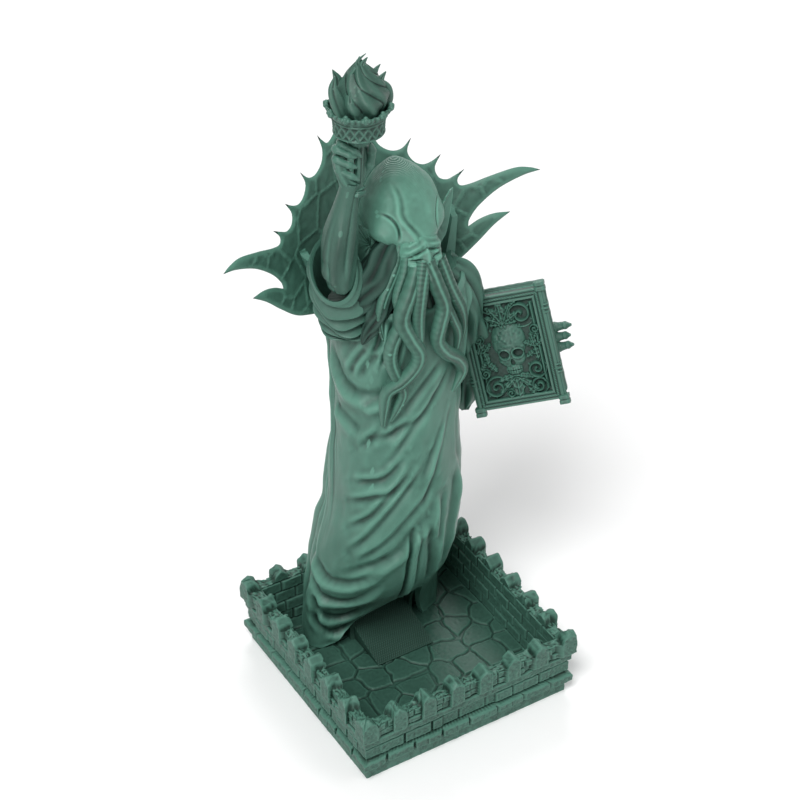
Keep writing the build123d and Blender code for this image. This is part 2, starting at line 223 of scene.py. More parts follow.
def xyz(x, y, z):
    """Points from three coordinates, each a number or an array that fits the others."""
    return np.stack(np.broadcast_arrays(x, y, z), -1)


def step(x, low, high):
    """0 below low, 1 above high, and a smooth rise between."""
    t = np.clip((x - low) / (high - low), 0, 1)
    return t * t * (3 - 2 * t)


def dice(number, seed):
    """A fixed random value from 0 to 1 for each whole number."""
    value = np.sin(number * 12.9898 + seed * 78.233) * 43758.5453
    return value - np.floor(value)


def grid_faces(rows, cols, ring=False, loop=False):
    """Quads of a grid of points; ring joins the last column to the first, loop the last row."""
    grid = np.arange(rows * cols).reshape(rows, cols)
    if ring:
        grid = np.concatenate([grid, grid[:, :1]], 1)
    if loop:
        grid = np.concatenate([grid, grid[:1]], 0)
    quads = np.stack([grid[:-1, :-1], grid[:-1, 1:], grid[1:, 1:], grid[1:, :-1]], -1)
    return quads.reshape(-1, 4).tolist()


def make_piece(name, verts, faces, material, *nodes, body="tower", crease=70):
    """One closed mesh piece, faces turned outwards by the sign of its volume. It rides on a body
    and stands for the named CAD nodes, if there are any."""
    mesh = bpy.data.meshes.new(name)
    mesh.from_pydata((np.asarray(verts).reshape(-1, 3) * mm).tolist(), [], faces)
    mesh.calc_loop_triangles()
    corners = np.zeros(len(mesh.loop_triangles) * 3, int)
    mesh.loop_triangles.foreach_get("vertices", corners)
    a, b, c = np.asarray(verts).reshape(-1, 3)[corners.reshape(-1, 3)].transpose(1, 0, 2)
    if np.einsum("ij,ij->", a, np.cross(b, c)) < 0:
        mesh.flip_normals()
    mesh.shade_smooth()
    mesh.set_sharp_from_angle(angle=radians(crease))
    piece = bpy.data.objects.new(name, mesh)
    scene.collection.objects.link(piece)
    mesh.materials.append(material)
    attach(piece, body)
    if nodes:
        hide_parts(*nodes)


def capped_tube(name, rows, material, *nodes, body="tower", crease=70):
    """Rings of points joined into a tube, its two end rings closed flat."""
    count, across, _ = rows.shape
    faces = grid_faces(count, across, ring=True)
    for ring in (0, count - 1):
        patch = tessellate_polygon([[Vector(p) for p in rows[ring]]])
        order = 1 if ring == 0 else -1
        faces += [[ring * across + k for k in tri][::order] for tri in patch]
    make_piece(name, rows, faces, material, *nodes, body=body, crease=crease)


tray_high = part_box("parapet_front")[0].y / -mm
tray_inner = 37.0
rail_z = 24.0
foot_z = 4.3
corner_merlon = tray_high - 3.0
merlon_pitch = 2 * corner_merlon / 7
merlon_half = 2.9
# how far out each part of the wall's outer face stands from the tray's middle
foot_out, plinth_out, ledge_out, stone_out, parapet_out = 40.4, 42.3, 41.7, 41.1, 42.9


def nearest_merlon(s):
    """Distance along the wall to the middle of the nearest merlon, and that merlon's number."""
    number = np.round((s + corner_merlon) / merlon_pitch)
    return s + corner_merlon - number * merlon_pitch, number


def wall_top(s, q, seed):
    """Height of the rail and merlons: rubble in the crenels, worn pitched caps on the merlons."""
    off, number = nearest_merlon(s)
    spot = xyz(s, q, rail_z)
    rubble = 0.5 + 0.65 * lump(spot, 1.7, seed) + 0.4 * lump(spot, 0.8, seed + 3)
    rise = 2.2 + 2.2 * (1 - np.abs(off - 0.8 * (dice(number, seed) - 0.5)) / merlon_half)
    worn = 0.5 * lump(spot, 2.2, seed + 7) + 0.7 * (dice(number, seed + 2) - 0.5)
    on = step(merlon_half - np.abs(off), -0.1, 0.6)
    return rail_z - 0.2 + rubble + on * (rise + worn - rubble)


def outer_face(s, z, seed):
    """How far out the wall face stands at (s along, z up): foot, plinth, bricks, ledge, parapet."""
    spot = xyz(s, seed, z)
    wander = 0.35 * lump(spot * [1, 1, 0.2], 3.0, seed)
    off, number = nearest_merlon(s)
    half_off, half_number = nearest_merlon(s + merlon_pitch / 2)
    corner = step(np.abs(s), 36.6, 37.4)
    face = foot_out + 0 * z
    block = step(np.abs(half_off), 0.25, 0.6) * (1 - corner) + corner
    plinth = plinth_out - 1.1 * (1 - block) - 0.35 * dice(half_number + 3, seed) * (1 - corner)
    face = face + (plinth - face) * step(z, 4.6, 5.3) * (1 - step(z, 8.0 + wander, 8.8 + wander))
    tooth = 0.5 + 0.5 * np.sign(np.sin(s * 2 * np.pi / 1.3))
    groove = step(z, 8.4, 8.9) * (1 - step(z, 9.3, 9.8))
    face = face - groove * (0.9 + 0.5 * tooth) * (1 - corner)
    brick = step(np.abs(off - 1.5), 0.25, 0.6) * (1 - corner) + corner
    course = step(z, 9.6, 10.1) * (1 - step(z, 13.9, 14.4))
    proud = 0.7 * dice(number + 9, seed) * (1 - corner) + 0.35 * corner
    face = face + course * brick * (0.3 + proud)
    ledge = step(z, 14.5 + wander, 15.3 + wander) * (1 - step(z, 17.6 - wander, 18.3 - wander))
    face = face + (ledge_out + 0.25 * wander - face) * ledge
    up = step(z, 18.0 - wander, 18.8 - wander)
    brick_off = (off + merlon_pitch / 2) % merlon_pitch - merlon_pitch / 2
    gap = np.abs(np.abs(brick_off) - merlon_pitch / 2)
    brick_h = 2.7
    row = (z - 18.6) / brick_h
    shift = 0.9 * (dice(np.floor(row) + 5 * number, seed) - 0.5)
    seam = step(np.abs(gap + shift), 0.15, 0.45) * step(np.abs(row - np.round(row)) * brick_h, 0.1, 0.4)
    stone = stone_out + dice(np.floor(row) + 7 * half_number + 2 * np.sign(off), seed + 4) * seam
    pilaster = np.maximum(step(merlon_half - np.abs(off), -0.1, 0.2), corner)
    high = stone + pilaster * (parapet_out - 0.35 * step(z, 27.0, 28.6) - stone)
    face = face + (high - face) * up
    return face + 0.16 * lump(spot, 1.4, seed + 1) + 0.08 * lump(spot, 0.6, seed + 2)


def inner_face(s, z, seed):
    """Where the inside face stands: four courses of ashlar with sunk joints and proud blocks."""
    course_h = (rail_z - foot_z) / 4
    row = np.floor((z - foot_z) / course_h)
    up = (z - foot_z) / course_h - row
    length = 8.2
    along_row = s / length + 0.5 * (row % 2) + 0.23 * dice(row, seed)
    number = np.floor(along_row)
    side = along_row - number
    joint = step(np.minimum(side, 1 - side) * length, 0.15, 0.5)
    bed = step(np.minimum(up, 1 - up) * course_h, 0.15, 0.5)
    stone = joint * bed
    spot = xyz(s, 50 + seed, z)
    depth = 0.95 - stone * (0.45 + 0.5 * dice(number + 13 * row, seed))
    return tray_inner + depth + 0.12 * lump(spot, 1.2, seed)


def wall_rows(seed):
    """One wall facing -Y as rings of points round its section, one ring for each step along."""
    across = 266
    inner_rows, top_rows, outer_rows, cap_rows = 46, 12, 84, 12
    u = np.linspace(-1, 1, across)[:, None]
    lift = np.linspace(0, 1, cap_rows + 1)[1:]
    z_in = np.linspace(3.6, rail_z - 0.6, inner_rows)
    q_top = np.linspace(0, 1, top_rows + 2)[1:-1]
    z_out = np.linspace(rail_z - 0.6, 0.0, outer_rows)

    def column(q):
        return u * (tray_inner + q * (tray_high - tray_inner))

    s_in, s_out, s_top = column(0), column(1), column(q_top)
    top_in = wall_top(s_in, tray_inner, seed)
    top_out = wall_top(s_out, tray_high, seed)
    zi = np.concatenate([0 * u + z_in, z_in[-1] + (top_in - 0.2 - z_in[-1]) * lift], 1)
    zo = np.concatenate([z_out[0] + (top_out - 0.2 - z_out[0]) * lift[::-1], 0 * u + z_out], 1)
    ri = inner_face(0 * zi + s_in, zi, seed)
    ro = outer_face(0 * zo + s_out, zo, seed)
    rt = ri[:, -1:] + q_top * (ro[:, :1] - ri[:, -1:])
    zt = wall_top(s_top, tray_inner + 0 * s_top + q_top * 6, seed)
    r = np.concatenate([ri, rt, ro, 0 * u + tray_inner + 0.5], 1)
    z = np.concatenate([zi, zt, zo, 0 * u], 1)
    return xyz(u * r, -r, z)


for number, name in enumerate(("front", "right", "back", "left")):
    rows = wall_rows(1.7 * number + 0.3)
    x, y, z = rows[..., 0], rows[..., 1], rows[..., 2]
    turned = [(x, y), (-y, x), (-x, -y), (y, -x)][number]
    capped_tube(f"castle_wall_{name}", xyz(*turned, z), tray_plastic,
                f"tray_wall_{name}", f"parapet_{name}", body="tray", crease=40)

# ---------------------------------------------------------------- flagstones
# The tray's floor is paved with irregular broken flags: each stone is a cell round its own
# middle, tilted a little, with deep dark joints between. The slab under them is the CAD one.


def height_slab(name, top, bottom, material, *nodes, body="tower", place=None, crease=45):
    """A grid of top points closed with straight sides and a flat underside at height bottom."""
    rows, cols, _ = top.shape
    grid = np.arange(rows * cols).reshape(rows, cols)
    edge = np.concatenate([grid[0, :-1], grid[:-1, -1], grid[-1, :0:-1], grid[:0:-1, 0]])
    flat = top.reshape(-1, 3)
    under = flat[edge].copy()
    under[:, 2] = bottom
    low = rows * cols + np.arange(len(edge))
    sides = np.stack([edge, low, np.roll(low, -1), np.roll(edge, -1)], -1).tolist()
    verts = np.concatenate([flat, under])
    if place is not None:
        verts = place(verts)
    make_piece(name, verts, grid_faces(rows, cols) + sides + [low.tolist()], material, *nodes, body=body,
               crease=crease)


def cells(x, y, size, seed):
    """For each point of a plane: the distances to the two nearest cell middles, and the nearest
    cell's number."""
    i, j = np.floor(x / size), np.floor(y / size)
    first, second, owner = 0 * x + 99, 0 * x + 99, 0 * x
    for di, dj in np.ndindex(3, 3):
        ci, cj = i + di - 1, j + dj - 1
        number = ci * 57 + cj
        cx = (ci + 0.15 + 0.7 * dice(number, seed)) * size
        cy = (cj + 0.15 + 0.7 * dice(number, seed + 1)) * size
        d = np.hypot(x - cx, y - cy)
        nearer = d < first
        second = np.where(nearer, first, np.minimum(second, d))
        owner = np.where(nearer, number, owner)
        first = np.where(nearer, d, first)
    return first, second, owner


paved_half = tray_inner + 0.3
side = np.linspace(-paved_half, paved_half, 262)
x, y = np.meshgrid(side, side)
spot = xyz(x, y, 0)
first, second, owner = cells(x + 0.8 * lump(spot, 3.0, 4), y + 0.8 * lump(spot, 3.0, 6), 10.5, 5.0)
joint = step(second - first, 0.5, 1.3)
tilt = 0.10 * ((dice(owner, 2) - 0.5) * (x % 10) + (dice(owner, 3) - 0.5) * (y % 10)) / 5
z = 3.62 + joint * (0.42 + 0.26 * dice(owner, 1) + tilt) + 0.05 * lump(spot, 1.1, 2) * joint
# the flagstones take a darker plastic than the walls: painted shade inside the tray
paving_plastic_painted_shade = print_plastic("paving_plastic_painted_shade", (0.042, 0.117, 0.086), (0.011, 0.035, 0.025), 0.5)
height_slab("flagstones", xyz(x, y, z), 3.5, paving_plastic_painted_shade, "tray_paving", body="tray")


def keep_cad(material, *nodes):
    """Gives a material to CAD pieces that are shown as they are."""
    for node in nodes:
        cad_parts[node].data.materials.clear()
        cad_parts[node].data.materials.append(material)


keep_cad(tray_plastic, "tray_floor")

# ---------------------------------------------------------------- robe
# One thin printed shell hangs from the shoulders to the tray floor and hides the chute. Its
# folds sweep down from the book arm to the left knee, sag in loops at the foot on the left,
# and fall in upright pleats over the doorway, where the hem is drawn up like a curtain.
robe_plastic = print_plastic("robe_plastic", (0.102, 0.259, 0.196), (0.023, 0.065, 0.048), 0.36)
robe_sections = np.array([
    (4.3, 24.5, 27.5, 11.8), (16, 24.0, 27.3, 12.3), (26, 21.2, 27.0, 15.2), (36, 17.8, 26.4, 18.2),
    (46, 15.3, 26.0, 20.2), (60, 12.0, 25.6, 21.2), (75, 8.6, 23.8, 20.8), (90, 7.4, 22.6, 20.3),
    (105, 6.6, 21.5, 19.6), (125, 6.4, 21.4, 19.2), (140, 6.5, 22.0, 19.3), (150, 6.6, 22.8, 19.4),
    (155, 8.0, 24.6, 21.0), (160, 10.8, 24.4, 23.0)])
robe_wall = 2.2


def robe_shape(z):
    """Middle, half width and half depth of the robe at height z: cubic curves through sections."""
    at = robe_sections[:, 0]
    k = np.clip(np.searchsorted(at, z) - 1, 0, len(at) - 2)
    span = at[k + 1] - at[k]
    t = np.clip((z - at[k]) / span, 0, 1)
    out = []
    for column in robe_sections[:, 1:].T:
        slope = np.gradient(column, at)
        out.append((2 * t**3 - 3 * t**2 + 1) * column[k] + (t**3 - 2 * t**2 + t) * span * slope[k]
                   + (3 * t**2 - 2 * t**3) * column[k + 1] + (t**3 - t**2) * span * slope[k + 1])
    return out


def through(points, count):
    """A smooth curve through given points, with count samples (Catmull-Rom)."""
    p = np.array(points, float)
    p = np.vstack([2 * p[0] - p[1], p, 2 * p[-1] - p[-2]])
    t = np.linspace(0, len(points) - 1, count)
    k = np.minimum(t.astype(int), len(points) - 2)
    f = (t - k)[:, None]
    a, b, c, d = p[k], p[k + 1], p[k + 2], p[k + 3]
    return 0.5 * (2 * b + (c - a) * f + (2 * a - 5 * b + 4 * c - d) * f**2
                  + (3 * b - a - 3 * c + d) * f**3)


def ridge(d, width):
    """A rounded ridge of height 1 about the line where d is 0."""
    return np.exp(-(d / width)**2)


def crease_line(s, z, line, depth, width, lean):
    """A fold along a line: a sunk valley with a raised crest beside it, fading at both ends.
    The relief depends on the signed distance to the line, and lean picks the crest's side."""
    path = through(line, 14)
    a, b = path[:-1], path[1:]
    near = np.full(s.shape, 1e9)
    signed = np.zeros(s.shape)
    run = np.zeros(s.shape)
    for k, (p, q) in enumerate(zip(a, b)):
        d = q - p
        t = np.clip(((s - p[0]) * d[0] + (z - p[1]) * d[1]) / (d @ d), 0, 1)
        ex, ez = s - p[0] - t * d[0], z - p[1] - t * d[1]
        dist = np.hypot(ex, ez)
        closer = dist < near
        near = np.where(closer, dist, near)
        signed = np.where(closer, np.sign(d[0] * ez - d[1] * ex), signed)
        run = np.where(closer, (k + t) / len(a), run)
    fade = np.clip(np.minimum(run, 1 - run) * 5, 0.15, 1)
    off = near * signed * lean
    return fade * depth * (0.75 * ridge(off - 1.7 * width, 1.1 * width) - ridge(near, width))


# folds: depth and width in mm, side of the crest, then (turn in degrees, height) along the line
robe_folds = [
    (1.6, 3.6, 1, [(-92, 158), (-81, 153), (-70, 151), (-56, 156), (-46, 163)]),
    (0.9, 1.6, -1, [(-44, 163), (-47, 159), (-54, 155), (-64, 150)]),
    (0.9, 1.4, 1, [(-74, 135), (-63, 143), (-52, 149)]),
    (0.9, 1.8, 1, [(-64, 135), (-51, 143), (-32, 149)]),
    (1.3, 2.4, -1, [(-100, 146), (-89, 135), (-72, 130), (-48, 130), (-24, 133)]),
    (0.9, 1.6, -1, [(-62, 125), (-45, 128), (-30, 132)]),
    (1.3, 2.0, -1, [(-2, 121), (-28, 116), (-45, 113), (-66, 107)]),
    (0.9, 1.6, 1, [(-36, 121), (-46, 116), (-58, 110)]),
    (0.8, 2.2, -1, [(-98, 121), (-81, 118), (-62, 114)]),
    (1.0, 1.6, -1, [(27, 136), (4, 125), (-15, 115), (-38, 101)]),
    (0.7, 1.3, 1, [(14, 140), (-4, 133), (-24, 123)]),
    (1.0, 1.5, -1, [(-19, 106), (-34, 98), (-47, 95), (-69, 93)]),
    (1.1, 1.6, -1, [(-12, 102), (-28, 92), (-48, 88), (-71, 84)]),
    (1.1, 1.5, -1, [(-18, 96), (-36, 87), (-48, 80), (-67, 73)]),
    (1.2, 1.6, -1, [(3, 104), (-20, 89), (-36, 79), (-48, 70), (-60, 62)]),
    (1.1, 1.7, -1, [(10, 92), (-8, 82), (-26, 71), (-38, 64), (-52, 57)]),
    (1.6, 2.4, 1, [(12, 85), (-8, 71), (-19, 63), (-31, 58), (-46, 54), (-66, 48)]),
    (1.5, 2.2, -1, [(-104, 51), (-84, 45), (-63, 44), (-43, 48), (-29, 58)]),
    (1.5, 2.0, -1, [(-104, 42), (-78, 34), (-56, 33), (-40, 36), (-27, 47)]),
    (1.5, 2.0, -1, [(-96, 36), (-72, 25), (-51, 21), (-35, 23), (-20, 33)]),
    (1.3, 1.8, -1, [(-84, 24), (-62, 16), (-44, 12), (-30, 17)]),
    (2.2, 0.8, 1, [(-9, 72), (-8, 56), (-3, 38), (-1, 28)]),
    (1.2, 1.0, -1, [(-3, 70), (0, 52), (5, 34)]),
    (1.6, 1.5, 1, [(3, 76), (10, 60), (17, 46), (20, 34)]),
    (1.2, 1.5, -1, [(18, 86), (16, 72), (15, 58)]),
    (1.2, 2.0, 1, [(38, 96), (33, 76), (32, 54), (40, 34)]),
    (1.0, 1.5, -1, [(27, 70), (26, 52), (30, 34)]),
    (1.3, 2.0, 1, [(-84, 33), (-74, 22), (-62, 13), (-50, 9)]),
    (0.8, 2.0, -1, [(44, 140), (42, 110), (48, 84), (52, 60)]),
    (0.7, 1.4, 1, [(20, 118), (6, 104), (-8, 92)]),
    (0.6, 1.2, -1, [(30, 122), (16, 106), (4, 90), (-4, 80)]),
    (1.3, 1.6, 1, [(50, 159), (52, 146), (56, 132), (60, 118)]),
    (1.1, 1.3, -1, [(62, 159), (64, 144), (68, 128)]),
    (1.0, 1.2, 1, [(38, 158), (41, 148), (47, 138)]),
    (1.3, 1.2, 1, [(-36, 160), (-40, 152), (-50, 146)]),
    (1.1, 1.0, -1, [(-28, 160), (-32, 150), (-42, 141)]),
    (1.0, 1.0, 1, [(-20, 158), (-26, 148), (-34, 138)]),
]
hem_line = np.array([(-180, 4.3), (-60, 4.3), (-46, 6.5), (-33, 13), (-17, 23.5), (-6, 27.5), (7, 28.5),
                     (16, 30), (23, 27), (29, 20), (33, 9), (37, 4.3), (180, 4.3)])
deg_mm = 0.42  # distance along the cloth for each degree of turn
robe_top = 160.0
around = 430
turn = np.linspace(-180, 180, around, endpoint=False)
hem = np.interp(turn, hem_line[:, 0], hem_line[:, 1])
rise = np.linspace(0, 1, 176)[:, None]
z_out = hem + (robe_top - hem) * rise
s_out = (0 * z_out + turn) * deg_mm
relief = np.zeros(z_out.shape)
for depth, width, lean, line in robe_folds:
    relief += crease_line(s_out, z_out, [(a * deg_mm, b) for a, b in line], depth, width, lean)
back = step(np.abs(turn), 85, 120)
sweep = s_out * 0.62 + 0.05 * z_out + 1.3 * np.sin(z_out * 0.045 + s_out * 0.1)
pleats = (0.9 * np.sin(sweep) * step(np.abs(np.sin(sweep)), 0.0, 0.8)
          + 0.4 * np.sin(2.3 * sweep + z_out * 0.03))
relief += back * pleats * step(robe_top - z_out, 0, 14)
spot = xyz(s_out, z_out, 0)
relief += 0.45 * lump(spot, 9.0, 3) + 0.18 * lump(spot * [1, 0.5, 1], 3.0, 5)
relief *= step(robe_top + 0.5 - z_out, 0, 3)
relief = np.clip(1.05 * relief, -1.9, 1.8)


def robe_point(z, inset):
    """Points of the robe at height z (rows by turn), moved in by inset along the radius."""
    mid, wide, deep = robe_shape(z)
    a = np.radians(turn)
    out = np.stack([np.sin(a) * deep, -np.cos(a) * wide], -1)
    out = out / np.linalg.norm(out, axis=-1, keepdims=True)
    return xyz(np.sin(a) * wide - inset * out[..., 0], mid - np.cos(a) * deep - inset * out[..., 1], z)


outer = robe_point(z_out, -relief)
z_in = hem + (robe_top - 0.6 - hem) * np.linspace(1, 0, 36)[:, None]
inner = robe_point(z_in, robe_wall)
rim = robe_point(np.full((1, around), robe_top + 0.9), 0.5 * robe_wall)
shell = np.concatenate([outer, rim, inner])
make_piece("robe", shell, grid_faces(*shell.shape[:2], ring=True, loop=True), robe_plastic,
           "robe_skirt", "robe_torso", "shoulder_yoke", crease=60)

# ---------------------------------------------------------------- doorway and chute
# The ramp is printed at a slant, so its tread carries fine raised ribs. The cheeks, the three
# baffles above and the bridge under the head are the CAD plates in the same plastic. That plastic
# is dark: painted shade in the doorway and inside the tower.
chute_plastic_painted_shade = print_plastic("chute_plastic_painted_shade", (0.026, 0.072, 0.053), (0.010, 0.030, 0.021), 0.45)
keep_cad(chute_plastic_painted_shade, "door_cheek_left", "door_cheek_right", "baffle_upper", "baffle_middle",
         "baffle_lower", "head_bridge")

ramp_low, ramp_high = [np.array(corner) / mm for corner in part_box("exit_ramp")]
ramp_knee = 21.0
ramp_back = ramp_high[1] - 2.0
x, y = np.meshgrid(np.linspace(ramp_low[0] + 0.1, ramp_high[0] - 0.1, 160),
                   np.linspace(ramp_low[1] + 0.1, ramp_back, 160))
slope = foot_z + 0.35 + y * np.tan(radians(17.0)) + np.maximum(y - ramp_knee, 0) * 0.97
rib_turn, rib_pitch = radians(24), 0.75
ribs = 0.14 * np.abs(np.sin((x * np.cos(rib_turn) - y * np.sin(rib_turn)) * np.pi / rib_pitch))
height_slab("ribbed_ramp", xyz(x, y, slope + ribs - 0.1), foot_z, chute_plastic_painted_shade, "exit_ramp")

# ---------------------------------------------------------------- hopper collar
# The back of the hopper flares into a fluted collar with a scalloped lip, one shell with the
# shoulders. Its section is carried round the back half of an oval.
collar_plastic = print_plastic("collar_plastic", (0.075, 0.197, 0.148), (0.022, 0.068, 0.050), 0.42)
sweep = np.radians(np.linspace(88, 272, 300))[:, None]
lift = np.concatenate([np.linspace(0, 1, 34), np.linspace(1, 0, 34)])
inside = np.repeat([0.0, 1.0], 34)
flute = 0.55 * np.cos(sweep * 22) * lift
wide = (24.4 - 3.6 * inside) + (3.2 + 1.4 * inside) * lift + flute * (1 - 0.6 * inside)
deep = (23.0 - 3.2 * inside) + inside * lift + flute * (1 - 0.6 * inside)
lip = robe_top + 0.2 + lift * (12.6 + 1.2 * np.cos(sweep * 11))
rows = xyz(np.sin(sweep) * wide, 11.0 + 3.0 * lift - np.cos(sweep) * deep, lip)
capped_tube("collar", rows, collar_plastic, "hopper_collar", crease=60)

# ---------------------------------------------------------------- head
# A smooth pointed mantle, swept back, with a crease down the brow, a swollen lobe over each
# cheek, sunk eyes under a heavy brow and a beak-like face that the tentacles grow from.
# the head takes a lighter plastic than the robe: a painted sheen on the mantle and face
head_plastic_painted_sheen = print_plastic("head_plastic_painted_sheen", (0.139, 0.350, 0.263), (0.028, 0.082, 0.059), 0.36, depth=0.09)


def circle(count):
    """That many angles, evenly round a full turn."""
    return np.linspace(0, 2 * np.pi, count, endpoint=False)


def blob(points, centre, spread):
    """A smooth bump, 1 at the centre and fading with distance; spread is in mm along x, y, z."""
    d = (points - np.array(centre)) / np.array(spread)
    return np.exp(-(d**2).sum(-1))


# the mantle's outline: (height along its own axis, radius), leant back and set on the neck
mantle_profile = [(-16, 2.5), (-13.6, 7.0), (-8, 11.4), (-1, 13.0), (6, 11.6), (11.6, 8.0), (15, 4.2),
                  (16.4, 1.8), (16.8, 0.3)]
line = through(mantle_profile, 180)
a = circle(250)
up, girth = line[:, :1], line[:, 1:]
deep = 0.84 * girth * np.sin(a)
lean_back = radians(16)
head = xyz(girth * np.cos(a), deep * np.cos(lean_back) + up * np.sin(lean_back) + 4,
           189 + up * np.cos(lean_back) - deep * np.sin(lean_back))
out = head - np.array([0, 5.0, 186.0])
out /= np.linalg.norm(out, axis=-1, keepdims=True)
relief = 0.3 * lump(head, 6.0, 2) + 0.1 * lump(head, 2.0, 9)
middle = head[..., 0] + 1.0 + 3.4 * step(head[..., 2], 184, 194) + 0.4 * np.sin(head[..., 2] * 0.5)
relief += 0.4 * (ridge(middle + 1.3, 0.9) - ridge(middle, 0.9)) * step(-head[..., 1], -3, 4)
relief += 2.7 * blob(head, (0, -10.5, 184.0), (6.5, 6.0, 3.6))
for s in (-1, 1):
    lobe = np.linalg.norm((head - (s * 11.6, -3.4, 186.6)) / (5.4, 7.6, 6.8), axis=-1)
    relief += 1.1 * step(1.0 - lobe, 0, 1.0)
    relief -= (0.75 * ridge(lobe - 1.02, 0.07) * step(head[..., 2], 184, 188)
               * step(11 - s * head[..., 0], 0, 3))
    relief -= 1.6 * blob(head, (s * 5.6, -11.6, 183.0), (1.2, 3.0, 3.6))
    relief += 0.7 * blob(head, (s * 4.6, -9.5, 192.5), (2.0, 4.0, 6.0))
    relief -= 2.6 * blob(head, (s * 13.0, 1.0, 180.0), (4.5, 6.0, 3.0))
head = head + out * relief[..., None]
capped_tube("mantle_skin", head, head_plastic_painted_sheen, "mantle")

# the face: an egg drawn down to a beak, with brows, eye sockets, eyes and cheek folds
a = circle(220)
fall = np.linspace(0.02, np.pi - 0.02, 160)[:, None]
unit = xyz(np.sin(fall) * np.cos(a), np.sin(fall) * np.sin(a), np.cos(fall))
face = unit * np.array([7.9, 6.4, 8.6])
face[..., 0] *= 1 - 0.62 * step(-unit[..., 2], -0.3, 1.0)
face = face + np.array([0, -5.9, 178.4])
face[..., 1] -= 2.6 * step(-unit[..., 2], -0.4, 0.8) * step(-unit[..., 1], 0.0, 0.8)
relief = 0.14 * lump(face, 1.4, 4) + 1.2 * blob(face, (0, -13.5, 179.0), (1.1, 4, 9.0))
for s in (-1, 1):
    brow = face[..., 2] - 184.6 + 0.42 * np.abs(face[..., 0])
    folds = 0.8 * ridge(brow + 0.2, 0.6) - 1.6 * ridge(brow + 1.7, 0.5) + 0.4 * ridge(brow - 1.4, 0.4)
    relief += folds * blob(face, (s * 4.4, -13.0, 183.0), (3.4, 5.0, 3.6))
    # lids, cheek folds and the sides of the beak: relief, then place, width and height
    for height, *spot, wide, tall in (
            (1.1, 4.2, -13, 180.9, 0.8, 0.6), (-0.9, 4.2, -13, 179.7, 2.0, 0.45),
            (0.8, 4.6, -12, 178.3, 1.7, 0.7), (-0.9, 2.4, -13, 176.4, 0.5, 2.6)):
        relief += height * blob(face, np.array(spot) * (s, 1, 1), (wide, 4.0, tall))
face = face + unit * relief[..., None]
capped_tube("face_skin", face, head_plastic_painted_sheen, "face")

# ---------------------------------------------------------------- tentacles
# Thick tapering strands grow from the face and wind down the chest. Each is a swept round
# limb with a groove down its outer side and faint rings.


def limb(points, rows=120, cols=44, facing=(0, -1, 0), shape=None, blunt=0.0):
    """Rings along a smooth curve through (x, y, z, radius) points. Angle 0 lies towards facing,
    and shape(t, angle) gives a factor on the radius; blunt rounds that share of each end off."""
    curve = through(points, rows)
    centre, radius = curve[:, :3], np.maximum(curve[:, 3], 0.05)
    t = np.linspace(0, 1, rows)
    if blunt:
        end = np.clip(np.minimum(t, 1 - t) / blunt, 0.0, 1)
        radius = radius * np.sqrt(np.clip(1 - (1 - end)**2, 0.004, 1))
    along = np.gradient(centre, axis=0)
    along /= np.linalg.norm(along, axis=1, keepdims=True)
    side = np.cross(along, np.array(facing, float))
    side /= np.linalg.norm(side, axis=1, keepdims=True)
    front = np.cross(side, along)
    angle = circle(cols)
    scale = radius[:, None] * np.ones(cols)
    if shape is not None:
        scale = scale * shape(t[:, None], angle[None, :])
    spoke = np.cos(angle)[:, None] * front[:, None] + np.sin(angle)[:, None] * side[:, None]
    return centre[:, None] + scale[..., None] * spoke


def from_front(angle):
    """The same angle brought between -pi and pi, so that its size is the turn from the front."""
    return np.angle(np.exp(1j * angle))


def strand(t, angle):
    """Section of a tentacle: a groove down its outer face between two swellings, ringed lightly."""
    a = from_front(angle)
    return 1 - 0.20 * ridge(a, 0.22) + 0.05 * ridge(np.abs(a) - 0.6, 0.3) + 0.018 * np.sin(t * 150) * (1 - t)


